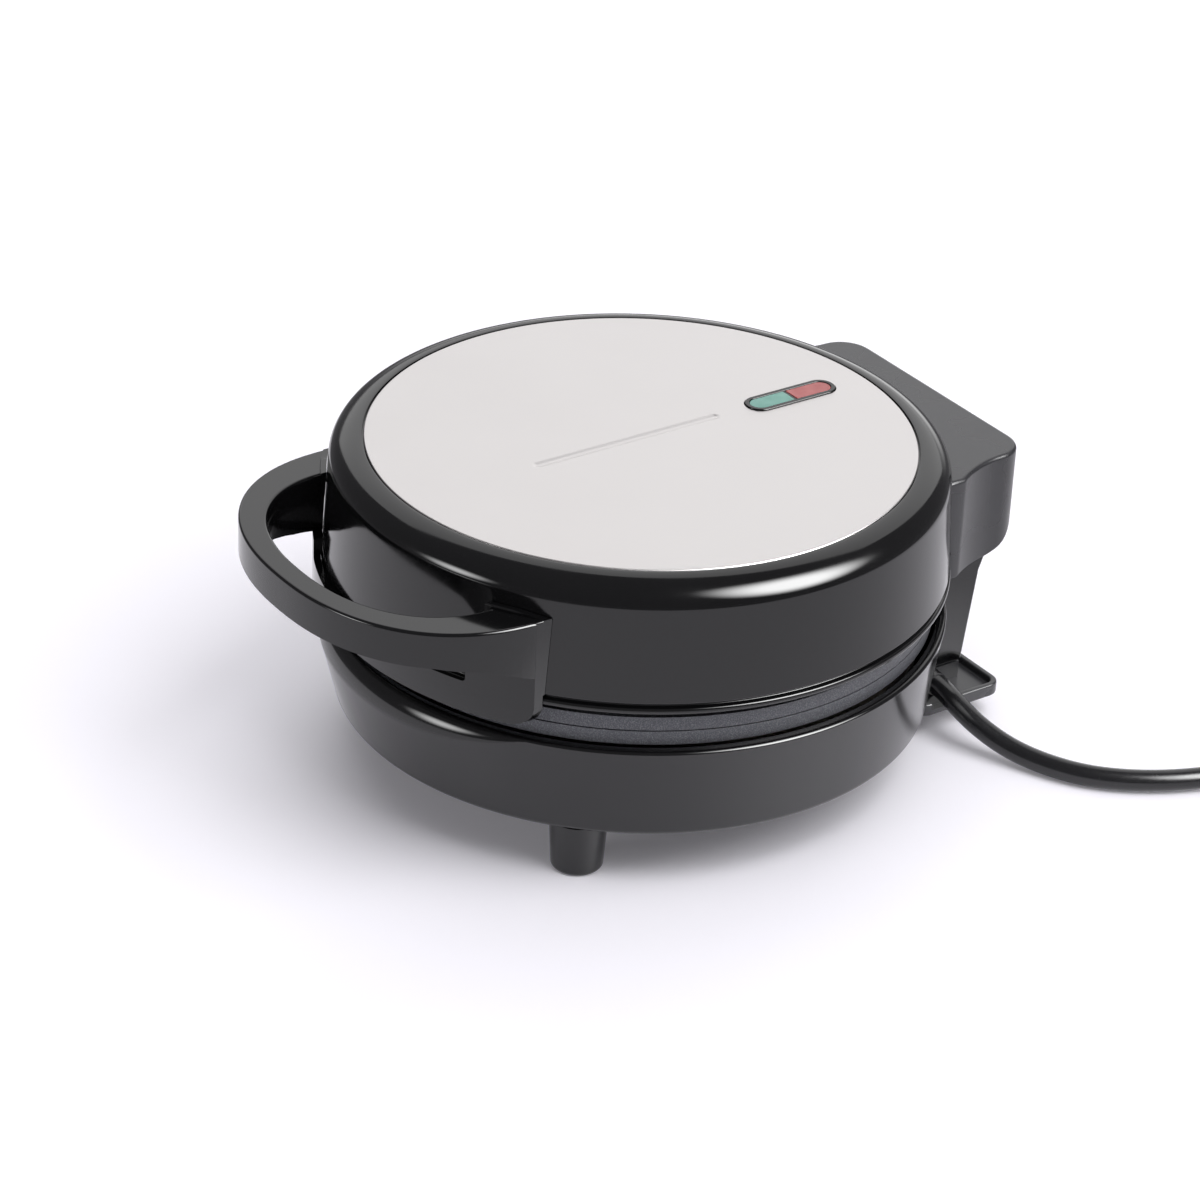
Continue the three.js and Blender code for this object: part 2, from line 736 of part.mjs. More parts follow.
// The outside of the lid's round shell, from the lip at its foot to the seat of the disc.
const lidOutside = [
  [lidLipRadius - lidLipDepth, lidLipBottom],
  [lidLipRadius, lidLipBottom + lidLipHeight / 2],
  [lidWallBottomRadius, lidLipBottom + lidLipHeight],
  [lidWallBottomRadius - grooveDepth, lidLipBottom + lidLipHeight + grooveHeight / 3],
  [lidWallBottomRadius - grooveDepth, lidWallBottomHeight - grooveHeight / 3],
  [lidWallBottomRadius, lidWallBottomHeight],
  ...arc(
    [lidWallTopRadius - lidShoulderWidth, lidWallTopHeight],
    lidShoulderWidth,
    discTop - lidWallTopHeight,
    0,
    90,
  ),
  [discRadius + discEdgeGap, discSeat],
  [0, discSeat],
];

// The inside of the shell, from the middle of its roof down to its open foot.
const lidInside = [
  [0, roofUnderside],
  [discRadius, roofUnderside],
  [lidWallTopRadius - lidWallThickness, lidWallTopHeight - lidWallThickness],
  [lidWallBottomRadius - grooveDepth - lidWallThickness, lidWallBottomHeight],
  [lidWallBottomRadius - grooveDepth - lidWallThickness, lidLipBottom - overrun],
  [0, lidLipBottom - overrun],
];

const handleScrews = [-1, 1].map((side) => {
  const start = lidWallTopRadius - lidWallThickness - screwHeadHeight - seatGap;
  const turn = Math.asin((side * (handleHalfWidth - handleScrewInset)) / start);
  const degrees = THREE.MathUtils.radToDeg(turn);
  return [
    around(start, degrees, handleScrewHeight),
    around(start + handleScrewLength, degrees, handleScrewHeight),
  ];
});

// The stadium outline of the window, drawn in by a margin.
function windowOutline(margin) {
  const half = windowWidth / 2 - margin;
  return roundedRectangle(
    [-half, half],
    [windowMiddle - windowLength / 2 + margin, windowMiddle + windowLength / 2 - margin],
    half - weld,
  );
}

function upperHousing() {
  const outside = turned([[0, lidLipBottom], ...lidOutside]);
  const shell = outside.subtract(turned(lidInside.slice().reverse()));
  const bossFoot = upperFace + plateThickness + seatGap;
  const bosses = upperScrews.map(([head]) =>
    pillar(head.x, head.y, bossFoot, discSeat - lidRoofThickness / 2, bossRadius, screwSteps),
  );
  const inside = turned([
    [0, bossFoot - overrun],
    [lidWallBottomRadius - lidWallThickness, bossFoot - overrun],
    [lidWallTopRadius - lidWallThickness / 2, lidWallTopHeight],
    [discRadius - lidWallThickness, discSeat - lidRoofThickness / 2],
    [0, discSeat - lidRoofThickness / 2],
  ]);
  const margin = windowFrameWidth / 2 - seatGap;
  const window = upright(windowOutline(margin), roofUnderside - overrun, discTop);
  const holes = [...upperScrews, ...handleScrews].map(([head, tip]) => screwHole(head, tip));
  return cut(join([shell, ...bosses.map((boss) => boss.intersect(inside))]), [window, ...holes]);
}

// The space that the lid's wall fills, let out by a gap, to shape the handle and the hood.
const besideLid = turned([
  [0, baseRimHeight],
  [lidLipRadius + seatGap, baseRimHeight],
  [lidLipRadius + seatGap, lidWallBottomHeight],
  [lidWallBottomRadius + seatGap, lidWallBottomHeight],
  [lidWallTopRadius + seatGap, lidWallTopHeight],
  [lidWallTopRadius + seatGap, discTop],
  [0, discTop],
]);

function steelDisc() {
  const plain = turned([
    [0, discTop - discThickness],
    [discRadius, discTop - discThickness],
    [discRadius, discTop - discThickness / 4],
    [discRadius - discThickness / 4, discTop],
    [0, discTop],
  ]);
  const line = upright(
    roundedRectangle(
      [-discLineWidth / 2, discLineWidth / 2],
      [discLineInset - discRadius, windowMiddle - windowLength / 2 - discLineGap],
      discLineWidth / 2 - weld,
      2,
    ),
    discTop - discThickness / 2,
    discTop + discLineHeight,
  );
  const window = upright(windowOutline(-seatGap), discTop - overrun, discTop + overrun);
  return cut(join([plain, line]), [window]);
}

// Indicator window

const windowTop = discTop + windowRise;
const lensFloor = windowTop - lensStepHeight - lensDepth;
const holderTop = roofUnderside - seatGap;
const holderMouth = holderTop - windowFlangeThickness;
const holderBottom = holderMouth - lampHolderHeight;

function windowBezel() {
  const collar = upright(windowOutline(0), discTop - discThickness, windowTop);
  const foot = roofUnderside - windowFlangeThickness;
  const neck = upright(windowOutline(windowFrameWidth / 2), foot, discTop);
  const inner = windowOutline(windowFrameWidth);
  const opening = upright(inner, roofUnderside - windowDepth, windowTop + overrun);
  const bridge = block(
    [-windowWidth / 2 + windowFrameWidth / 2, windowWidth / 2 - windowFrameWidth / 2],
    [windowMiddle - lensGap, windowMiddle + lensGap],
    [lensFloor, windowTop - lensStepHeight * 2],
  );
  return join([cut(join([collar, neck]), [opening]), bridge]);
}

function lens(side) {
  const whole = upright(windowOutline(windowFrameWidth + seatGap), lensFloor, windowTop - lensStepHeight);
  const edges = [windowMiddle + side * (lensGap + seatGap), windowMiddle + side * windowLength];
  const half = block(
    [-windowWidth, windowWidth],
    [Math.min(...edges), Math.max(...edges)],
    [lensFloor - overrun, windowTop + overrun],
  );
  return whole.intersect(half);
}

// The trough that holds the two lamps under the window.
function lampHolder() {
  const width = lampHolderWidth / 2 + lampHolderThickness;
  const [near, far] = [windowMiddle - windowLength / 2, windowMiddle + windowLength / 2];
  const outside = block([-width, width], [near, far], [holderBottom, holderMouth]);
  const inside = block(
    [-lampHolderWidth / 2, lampHolderWidth / 2],
    [near + lampHolderThickness, far - lampHolderThickness],
    [holderBottom + lampHolderThickness, holderTop + overrun],
  );
  const flange = block(
    [-width, width],
    [near - lampHolderThickness * 2, far + lampHolderThickness * 2],
    [holderMouth - lampHolderThickness, holderTop],
  );
  const mouth = upright(windowOutline(-seatGap), holderMouth, holderTop + overrun);
  return cut(join([outside, flange]), [inside, mouth]);
}

function neonLamp(side) {
  const y = windowMiddle + (side * windowLength) / 4;
  const z = holderBottom + lampHolderThickness + seatGap + lampRadius;
  const half = lampLength / 2;
  const at = (end) => new THREE.Vector3(0, y + end, z);
  return bar(at(-half), at(half), lampRadius, lampRadius, screwSteps);
}

// Handle

// The front half of a full ellipse, closed by straight sides that run back into the housing.
function loopOutline(halfWidth, reach, depth) {
  const front = Array.from({ length: handleSteps + 1 }, (_, i) => {
    const turn = (i / handleSteps) * Math.PI;
    const power = 2 / handleFullness;
    const across = Math.sign(Math.cos(turn)) * Math.abs(Math.cos(turn)) ** power;
    return [halfWidth * -across, -(reach - depth) - depth * Math.abs(Math.sin(turn)) ** power];
  });
  const back = -(lidWallTopRadius - handleHalfWidth);
  return [...front, [halfWidth, back], [-halfWidth, back]];
}

function handle() {
  const bandBottom = handleTop - handleBandHeight;
  const band = upright(loopOutline(handleHalfWidth, handleReach, handleDepth), bandBottom, handleTop);
  const ring = turned([
    [0, apronBottom],
    [apronRadius, apronBottom],
    [apronRadius, handleTop],
    [0, handleTop],
  ]);
  const apronOutline = roundedRectangle(
    [-handleHalfWidth, handleHalfWidth],
    [apronBottom, handleTop + apronCornerRadius],
    apronCornerRadius,
  );
  const apron = ring.intersect(frontways(apronOutline, -handleReach, -lidWallTopRadius / 2));
  const fingers = upright(
    loopOutline(handleHalfWidth - handleFlankWidth, handleReach - handleBandThickness, fingerDepth),
    apronTop,
    handleTop + overrun,
  );
  const holes = handleScrews.map(([head, tip]) => screwHole(head, tip));
  return cut(join([band, apron]), [fingers, besideLid, ...holes]);
}

// Hood over the hinge

const hoodFront = lidWallTopRadius / 2; // where the hood's blocks start, well inside the lid

// Half of the hood's plan, from the flare at the housing's wall to its back, drawn in by a margin.
function hoodPlan(margin) {
  const side = hoodHalfWidth - margin;
  const back = hoodReach - margin;
  const corner = hoodCornerRadius - margin;
  const flareEnd = hoodReach - hoodCornerRadius;
  const flare = Array.from({ length: cornerSteps + 1 }, (_, i) => {
    const share = 1 - i / cornerSteps;
    return [side + hoodFlare * share ** 2, flareEnd - hoodFlareLength * share];
  });
  return [...flare, ...arc([side - corner, back - corner], corner, corner, 0, 90)];
}

function hoodBlock(margin, low, high) {
  const right = hoodPlan(margin);
  const left = right.map(([x, y]) => [-x, y]).reverse();
  const [wide] = right[0];
  return upright([[wide, hoodFront], ...right, ...left, [-wide, hoodFront]], low, high);
}

// The hood's side view: flat on top, straight at the back and round about the hinge below.
function hoodSide(margin) {
  const radius = barrelRadius - margin;
  const round = arc([hingeBack, hingeHeight], radius, radius, -90, 0, cornerSteps * 2);
  const [, low] = round[0];
  return sideways(
    [[hoodFront, low], ...round, [hingeBack + radius, hoodTop - margin], [hoodFront, hoodTop - margin]],
    -handleReach,
    handleReach,
  );
}

const hingeAt = (x) => new THREE.Vector3(x, hingeBack, hingeHeight);
const hoodBottom = hingeHeight - barrelRadius;

function hingeHood() {
  const outer = hoodBlock(0, hoodBottom, hoodTop).intersect(hoodSide(0));
  const openBelow = block(
    [-handleReach, handleReach],
    [hoodFront, hingeBack],
    [hoodBottom - overrun, hingeHeight],
  );
  const under = join([hoodSide(hoodWallThickness), openBelow]);
  const hollowTop = hoodTop - hoodWallThickness;
  const hollow = hoodBlock(hoodWallThickness, hoodBottom - overrun, hollowTop).intersect(under);
  const webs = [-1, 1].map((side) => {
    const from = side * (earInner - runningGap);
    const to = from - side * hoodWebThickness;
    const edges = [Math.min(from, to), Math.max(from, to)];
    const round = bar(hingeAt(from), hingeAt(to), barrelRadius - hoodWallThickness / 2);
    const stay = block(
      edges,
      [hingeBack - hoodWebDepth, hoodReach - hoodWallThickness / 2],
      [hingeHeight, hoodTop - hoodWallThickness / 2],
    );
    return join([round, stay]).intersect(hoodSide(hoodWallThickness / 2));
  });
  const slots = [-1, 1].map((side) => {
    const edges = [side * (earInner - runningGap), side * (earOffset + runningGap)];
    return block(
      [Math.min(...edges), Math.max(...edges)],
      [hingeBack, hoodReach + overrun],
      [hoodBottom - overrun, hoodTop - earSlotDrop],
    );
  });
  const bore = bar(hingeAt(-earOffset), hingeAt(earOffset), pinRadius + seatGap);
  return cut(join([cut(outer, [hollow]), ...webs]), [besideLid, ...slots, bore]);
}

const pinHalfLength = hoodHalfWidth - hoodWallThickness - seatGap;
const hingePin = () => bar(hingeAt(-pinHalfLength), hingeAt(pinHalfLength), pinRadius);

// Rear post

const cordExit = new THREE.Vector3(earOffset, cordExitBack, cordExitHeight);
const glandStart = earOffset - glandInset;
const glandEnd = earOffset + glandLength;
const exitAt = (x) => cordExit.clone().setX(x);

// The hole that the cord's gland sits in, half in the post and half in the tray's neck.
const glandHole = bar(
  exitAt(glandStart - seatGap),
  exitAt(earOffset + overrun),
  glandRootRadius + seatGap,
);

const trayScrews = [-1, 1].map((side) => {
  const at = (z) => new THREE.Vector3(side * trayScrewOffset, neckBack - trayScrewInset, z);
  return [at(trayBottomHeight + seatGap), at(postBottom + trayScrewBiteLength)];
});

function rearPost() {
  const postTop = hingeHeight - postTopDrop;
  const flareDepth = (postBackDepth * 2 + postEarDepth) / 3;
  const ears = sideways(
    [
      [hoodFront, postBottom],
      [postBackBottom, postBottom],
      [hingeBack + postBackDepth, hingeHeight - postFlareDrop],
      [hingeBack + flareDepth, hingeHeight - (postFlareDrop + postEarDrop) / 2],
      [hingeBack + postEarDepth, hingeHeight - postEarDrop],
      ...arc([hingeBack, hingeHeight], earRadius, earRadius, 0, 180, cornerSteps * 2),
      [hingeBack - earRadius, postTop],
      [hoodFront, postTop],
    ],
    -earOffset,
    earOffset,
  );
  const between = block([-earInner, earInner], [hoodFront, hoodReach], [postTop, hoodTop]);
  const underHousing = block(
    [-handleReach, handleReach],
    [hoodFront, hingeBack - neckFrontDepth],
    [postBottom - overrun, footHeight + overrun],
  );
  const bore = bar(hingeAt(-hoodHalfWidth), hingeAt(hoodHalfWidth), pinRadius + seatGap);
  const holes = [...postScrews, ...trayScrews].map(([head, tip]) => screwHole(head, tip));
  return cut(ears, [between, underHousing, besideBase, bore, glandHole, ...holes]);
}

// Cord tray

function cordTray() {
  const [front, back] = [hingeBack - trayFrontDepth, hingeBack + trayBackDepth];
  const outside = upright(
    roundedRectangle([-trayHalfWidth, trayHalfWidth], [front, back], trayCornerRadius),
    trayBottomHeight,
    trayTop,
  );
  const inside = upright(
    roundedRectangle(
      [-trayHalfWidth + trayRimWidth, trayHalfWidth - trayRimWidth],
      [front + trayRimWidth, back - trayRimWidth],
      trayCornerRadius - trayRimWidth,
    ),
    trayFloorTop,
    trayTop + overrun,
  );
  const neck = block(
    [-neckHalfWidth, neckHalfWidth],
    [hingeBack - neckFrontDepth, neckBack],
    [trayFloorTop - weld, neckTop],
  );
  const notchMiddle = cordExitBack - cordNotchShift;
  const notch = block(
    [trayHalfWidth - trayRimWidth * 2, trayHalfWidth + overrun],
    [notchMiddle - cordNotchWidth / 2, notchMiddle + cordNotchWidth / 2],
    [trayTop - cordNotchDepth, trayTop + overrun],
  );
  const holes = trayScrews.map(([head, tip]) => screwHole(head, tip));
  return cut(join([cut(outside, [inside]), neck]), [notch, glandHole, ...holes]);
}

// The rubber gland round the cord: a plug in its hole and a tapered sleeve outside.
const cordGland = () =>
  join([
    bar(exitAt(glandStart), exitAt(earOffset + seatGap), glandRootRadius),
    bar(exitAt(earOffset), exitAt(glandEnd), glandRootRadius, glandTipRadius),
  ]);

// Wiring

const blockLow = floorTop + seatGap;
const blockMiddle = baseBottomRadius - blockInset;
const clampMiddle = blockMiddle - clampOffset;

function terminalBlock() {
  const body = block(
    [-blockLength / 2, blockLength / 2],
    [blockMiddle - blockWidth / 2, blockMiddle + blockWidth / 2],
    [blockLow, blockLow + blockHeight],
  );
  const bores = [-1, 0, 1].map((i) => {
    const x = (i * blockLength) / 3;
    const at = (y) => new THREE.Vector3(x, blockMiddle + y, blockLow + blockHeight / 2);
    return bar(at(-blockWidth), at(blockWidth), blockBoreRadius, blockBoreRadius, screwSteps);
  });
  return cut(body, bores);
}

const cordClamp = () =>
  block(
    [-clampLength / 2, clampLength / 2],
    [clampMiddle - clampWidth / 2, clampMiddle + clampWidth / 2],
    [blockLow, blockLow + clampThickness],
  );

// Sensors on the upper plate

function thermostat() {
  const low = upperFace + cupRadius + cavityWallThickness / 2 + seatGap;
  const ears = thermostatRadius + thermostatEarWidth;
  const middle = low + thermostatHeight / 2;
  return join([
    pillar(0, 0, low, low + thermostatHeight, thermostatRadius, smallSteps),
    block(
      [-ears, ears],
      [-thermostatEarWidth, thermostatEarWidth],
      [middle, middle + thermostatEarThickness],
    ),
  ]);
}

function thermalFuse() {
  const z = upperFace + shieldDepth + seatGap + fuseRadius;
  const at = (x) => new THREE.Vector3(x, -fuseOffset, z);
  return bar(at(-fuseLength / 2), at(fuseLength / 2), fuseRadius, fuseRadius, screwSteps);
}

// Mains cord

// The free stretch, from the gland over the tray's notch to the table and on to the coil. Each
// point lies to the right of the post, behind the cord's hole and above the table.
const cordRoute = [
  [5.8, 0, 13.6],
  [9.5, -0.3, 13.7],
  [13.6, -1.2, 13.7],
  [20, -1.2, 12.9],
  [28.4, 1.2, 10],
  [38.6, 5.6, 6.1],
  [49.8, 10, 3.9],
  [63.2, 16.4, 3.7],
  [73, 26.2, 3.7],
  [79.8, 37.2, 3.7],
  [84.8, 48.9, 3.7],
  [88.2, 61.4, 3.7],
  [89.8, 75.4, 3.7],
  [90, 83.4, 3.7],
  [90, 89.9, 3.7],
];

const besideExit = ([right, behind, z]) =>
  new THREE.Vector3(cordExit.x + right, cordExit.y + behind, z);

function freeCord() {
  const curve = new THREE.CatmullRomCurve3(cordRoute.map(besideExit), false, "centripetal");
  return tube(curve, cordRadius, Math.round(curve.getLength() / (2 * cordDiameter)), cordSides);
}

// The coil lies where the free stretch ends, to the right of it.
const coilStart = besideExit(cordRoute.at(-1)).add(new THREE.Vector3(0, cordDiameter + seatGap, 0));
const coilMiddle = coilStart.clone().add(new THREE.Vector3(coilRadius, 0, 0));

// The middle of the cord in the coil, after a number of turns: it winds in on the lower layer,
// climbs where the spiral reverses, and winds out again on the upper one.
function coilPoint(turns) {
  const half = coilTurns / 2;
  const radius = coilRadius - coilPitch * (half - Math.abs(turns - half));
  const rise = THREE.MathUtils.smoothstep(turns, half - coilClimbTurns / 2, half + coilClimbTurns / 2);
  const angle = Math.PI - 2 * Math.PI * turns;
  return new THREE.Vector3(
    coilMiddle.x + radius * Math.cos(angle),
    coilMiddle.y + radius * Math.sin(angle),
    cordRestHeight + coilLayerRise * rise,
  );
}

const plugHeight = plugRadius + weld; // the plug lies on its rim

function coilLine() {
  const count = coilTurns * coilTurnSteps;
  const turns = Array.from({ length: count + 1 }, (_, i) => coilPoint(i / coilTurnSteps));
  const last = turns[count];
  const tail = coilTailShares.map(([along, up]) => {
    const z = THREE.MathUtils.lerp(last.z, plugHeight, up);
    return new THREE.Vector3(last.x, last.y - along * coilTailLength, z);
  });
  const run = coilStart.clone().sub(new THREE.Vector3(0, cordDiameter, 0));
  return [run, ...turns, ...tail];
}

function cordCoil() {
  const curve = new THREE.CatmullRomCurve3(coilLine(), false, "centripetal");
  const steps = coilTurns * coilTurnSteps + coilTailShares.length;
  console.log("cord coil: least gap to itself " + leastGap(curve).toFixed(2) + " mm");
  return tube(curve, cordRadius, steps, coilSides);
}

// The least distance between the surfaces of two parts of a tube that aren't next to each other.
function leastGap(curve) {
  const count = 400;
  const points = curve.getSpacedPoints(count);
  const apart = Math.ceil((3 * cordDiameter * count) / curve.getLength());
  let least = Infinity;
  for (let i = 0; i < count; i++) {
    for (let j = i + apart; j <= count; j++) {
      least = Math.min(least, points[i].distanceTo(points[j]));
    }
  }
  return least - cordDiameter;
}

// Plug

const plugTail = new THREE.Vector3(
  coilMiddle.x + coilRadius,
  coilMiddle.y - coilTailLength - seatGap,
  plugHeight,
);
const plugFace = plugTailLength + plugGripLength + plugFaceLength;

// A shape made along +Z from its own origin, laid towards -Y from the cord's end.
const laidOnTable = (shape) => shape.rotate([90, 0, 0]).translate(plugTail.toArray());

function plugBody() {
  const gripEnd = plugTailLength + plugGripLength;
  const body = turned(
    [
      [0, 0],
      [cordRadius, 0],
      [plugTailRadius, plugTailLength],
      [plugGripRadius * plugGripShare, plugTailLength + plugFaceLength / 3],
      [plugGripRadius, gripEnd - plugFaceLength / 3],
      [plugRadius, gripEnd],
      [plugRadius, plugFace],
      [0, plugFace],
    ],
    smallSteps * 2,
  );
  const notches = [0, 1, 2, 3].map((i) => {
    const half = plugNotchWidths[i % 2] / 2;
    const depth = plugRadius - plugNotchDepths[i % 2];
    const notch = block(
      [-half, half],
      [depth, plugRadius + overrun],
      [plugFace - plugNotchLength, plugFace + overrun],
    );
    return notch.rotate([0, 0, (i * 360) / 4]);
  });
  const boreEnd = plugFace - plugPinDepth - seatGap;
  const bores = [-1, 1].map((side) => {
    const x = (side * plugPinPitch) / 2;
    return pillar(x, 0, boreEnd, plugFace + overrun, plugPinRadius + seatGap);
  });
  return laidOnTable(cut(body, [...notches, ...bores]));
}

function plugPin(side) {
  const tip = plugFace + plugPinLength;
  const pin = turned(
    [
      [0, plugFace - plugPinDepth],
      [plugPinRadius, plugFace - plugPinDepth],
      [plugPinRadius, tip - plugPinRadius],
      [plugPinRadius / 2, tip],
      [0, tip],
    ],
    smallSteps,
  );
  return laidOnTable(pin.translate([(side * plugPinPitch) / 2, 0, 0]));
}

// The object

const object = new THREE.Group();
const appliance = new THREE.Group();
appliance.position.y = bodyShift;
object.add(appliance);

const add = (name, shape, material) => appliance.add(piece(name, shape, material));
const addScrews = (name, places) =>
  places.forEach((place, i) => add(name + "_" + (i + 1), screw(...place), brightSteel));

// The base
add("lower_housing", lowerHousing(), glossBlack);
add("foot_front_left", frontFoot(frontFeet[0]), glossBlack);
add("foot_front_right", frontFoot(frontFeet[1]), glossBlack);
add("foot_rear_left", rearFoot(rearFeet[0]), glossBlack);
add("foot_rear_right", rearFoot(rearFeet[1]), glossBlack);
add("lower_plate", lowerPlate(), coatedPlate);
addScrews("lower_plate_screw", lowerScrews);
add("lower_heating_element", heatingElement(lowerElementHeight, lowerLegEnd), sheetMetal);
add("lower_heat_shield", heatShield(lowerFace, -1, lowerScrews), sheetMetal);
add("terminal_block", terminalBlock(), ceramic);
add("cord_clamp", cordClamp(), satinBlack);
add("rear_post", rearPost(), glossBlack);
addScrews("post_screw", postScrews);
add("hinge_pin", hingePin(), brightSteel);
add("cord_tray", cordTray(), satinBlack);
addScrews("tray_screw", trayScrews);

// The lid
add("upper_housing", upperHousing(), glossBlack);
add("steel_disc", steelDisc(), brushedSteel);
add("window_bezel", windowBezel(), satinBlack);
add("green_lens", lens(-1), greenLens);
add("red_lens", lens(1), redLens);
add("lamp_holder", lampHolder(), satinBlack);
add("lamp_front", neonLamp(-1), clearGlass);
add("lamp_rear", neonLamp(1), clearGlass);
add("handle", handle(), glossBlack);
addScrews("handle_screw", handleScrews);
add("hinge_hood", hingeHood(), satinBlack);
add("upper_plate", upperPlate(), coatedPlate);
addScrews("upper_plate_screw", upperScrews);
add("upper_heating_element", heatingElement(upperElementHeight, upperLegEnd), sheetMetal);
add("upper_heat_shield", heatShield(upperFace, 1, upperScrews), sheetMetal);
add("thermostat", thermostat(), ceramic);
add("thermal_fuse", thermalFuse(), ceramic);

// The cord and its plug
add("cord_gland", cordGland(), cordBlack);
add("mains_cord", freeCord(), cordBlack);
add("cord_coil", cordCoil(), cordBlack);
add("plug_body", plugBody(), cordBlack);
add("plug_pin_left", plugPin(-1), brass);
add("plug_pin_right", plugPin(1), brass);

export default object;
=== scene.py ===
# %% [markdown]
# # A cake pop maker in Blender
# The object is a round countertop cooker: a tub with the lower baking plate, a lid with the upper
# one, a steel disc on the lid, a loop handle in front and a hood over the hinge behind.
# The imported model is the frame. Most pieces below are built in their place about the same axis,
# take over from a plain solid of the frame, and move with the body that the solid belongs to.

import math

import bmesh
import bpy
from mathutils import Matrix, Quaternion, Vector


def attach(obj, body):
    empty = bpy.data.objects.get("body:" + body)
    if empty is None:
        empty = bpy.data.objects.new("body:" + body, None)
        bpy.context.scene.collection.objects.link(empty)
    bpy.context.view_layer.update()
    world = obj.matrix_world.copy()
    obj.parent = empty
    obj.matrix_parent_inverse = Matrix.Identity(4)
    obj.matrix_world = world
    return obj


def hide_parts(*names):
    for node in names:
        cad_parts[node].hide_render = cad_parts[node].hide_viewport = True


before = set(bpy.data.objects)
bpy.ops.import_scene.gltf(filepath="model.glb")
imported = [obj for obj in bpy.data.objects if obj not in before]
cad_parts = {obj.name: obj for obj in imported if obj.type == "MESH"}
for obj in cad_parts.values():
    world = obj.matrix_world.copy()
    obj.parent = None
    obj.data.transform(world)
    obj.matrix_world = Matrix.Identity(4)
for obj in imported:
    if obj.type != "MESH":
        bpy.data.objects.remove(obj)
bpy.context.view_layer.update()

# %% [markdown]
# ## Units and the housings' axis
# Sizes are written in millimetres, as on a drawing, and Blender works in metres. The round
# housings turn about an upright axis that lies 6 mm behind the origin, because the handle reaches
# further out than the hood. Each shape is made about that axis and moved there once, at the end.

# %% Units
MM = 0.001
AXIS_BACK = 6.0


def place(x, y, z):
    """A point about the housings' axis, in mm, as a point of the frame, in metres."""
    return Vector((x, y + AXIS_BACK, z)) * MM


print("the axis stands at", tuple(round(v, 4) for v in place(0, 0, 0)))

# %% [markdown]
# ## The camera
# The photograph was taken with a long lens from about 1.3 m, some 29 degrees above the table and
# from the front right, with the camera leaning a little to one side. Its place and its aim were
# worked out from the round edges of the disc and of the housings.

# %% Camera
SENSOR_WIDTH = 36
FOCAL_LENGTH = 120
CAMERA_PLACE = (925.34, -662.88, 684.38)
CAMERA_AIM = (-4.56, -4.18, 48.02)
CAMERA_LEAN = 2.51
FARTHEST_SEEN = 20  # metres

camera = bpy.data.objects.new("camera", bpy.data.cameras.new("camera"))
bpy.context.scene.collection.objects.link(camera)
bpy.context.scene.camera = camera
camera.data.sensor_width = SENSOR_WIDTH
camera.data.lens = FOCAL_LENGTH
camera.data.clip_end = FARTHEST_SEEN
camera.location = Vector(CAMERA_PLACE) * MM
aim = Vector(CAMERA_AIM) * MM
lean = Quaternion((0, 0, 1), math.radians(CAMERA_LEAN))
camera.rotation_mode = "QUATERNION"
camera.rotation_quaternion = (aim - camera.location).to_track_quat("-Z", "Y") @ lean
bpy.context.scene.view_settings.view_transform = "Standard"
print("camera distance in mm:", round((aim - camera.location).length / MM))

# %% [markdown]
# ## Colours and nodes
# A colour is picked on a screen as an sRGB hex value, while the shaders add up light, so each one
# is turned to linear first. One function adds a node with its settings and its links. Most of the
# materials are alike in that noise carries a colour, the roughness or a relief, so one function
# builds such a material from the real sizes of its patches and of its relief.

# %% Helpers for colours and nodes


def colour(code):
    """An sRGB hex value as linear red, green, blue and alpha."""
    parts = [int(code[i : i + 2], 16) / 255 for i in (1, 3, 5)]
    return [p / 12.92 if p <= 0.04045 else ((p + 0.055) / 1.055) ** 2.4 for p in parts] + [1]


def add_node(tree, kind, sockets=None, links=None, **settings):
    """One node with its own settings, the values of its sockets, and what is linked to them."""
    node = tree.nodes.new(kind)
    for name, value in settings.items():
        setattr(node, name, value)
    for name, value in (sockets or {}).items():
        node.inputs[name].default_value = value
    for name, source in (links or {}).items():
        tree.links.new(source, node.inputs[name])
    return node


def new_material(name):
    """An empty material with its node tree and the object's own coordinates, in metres."""
    material = bpy.data.materials.new(name)
    material.use_nodes = True
    tree = material.node_tree
    tree.nodes.clear()
    return material, tree, add_node(tree, "ShaderNodeTexCoord").outputs["Object"]


def patterned(name, sockets, *patterns):
    """A material with sockets that follow noise, each with patches of its own size in mm.

    A pattern is a socket, a size, a detail, and what the noise does there: a colour goes from one
    hex value to another between two stops, the roughness is carried from one range over to
    another one, and the normal follows a bump with a strength and a depth in mm.
    """
    material, tree, here = new_material(name)
    links = {}
    for socket, size, detail, given, wanted in patterns:
        scale = {"Scale": 1 / (size * MM), "Detail": detail}
        value = add_node(tree, "ShaderNodeTexNoise", scale, {"Vector": here}).outputs["Fac"]
        if socket == "Base Color":
            ramp = add_node(tree, "ShaderNodeValToRGB", links={"Fac": value})
            for element, stop, code in zip(ramp.color_ramp.elements, given, wanted):
                element.position = stop
                element.color = colour(code)
            links[socket] = ramp.outputs["Color"]
        elif socket == "Roughness":
            ends = {"From Min": given[0], "From Max": given[1], "To Min": wanted[0], "To Max": wanted[1]}
            links[socket] = add_node(tree, "ShaderNodeMapRange", ends, {"Value": value}).outputs["Result"]
        else:
            relief = {"Strength": given, "Distance": wanted * MM}
            links[socket] = add_node(tree, "ShaderNodeBump", relief, {"Height": value}).outputs["Normal"]
    shader = add_node(tree, "ShaderNodeBsdfPrincipled", sockets, links)
    add_node(tree, "ShaderNodeOutputMaterial", links={"Surface": shader.outputs["BSDF"]})
    return material


print("mid grey #808080 is", round(colour("#808080")[0], 3), "in linear light")

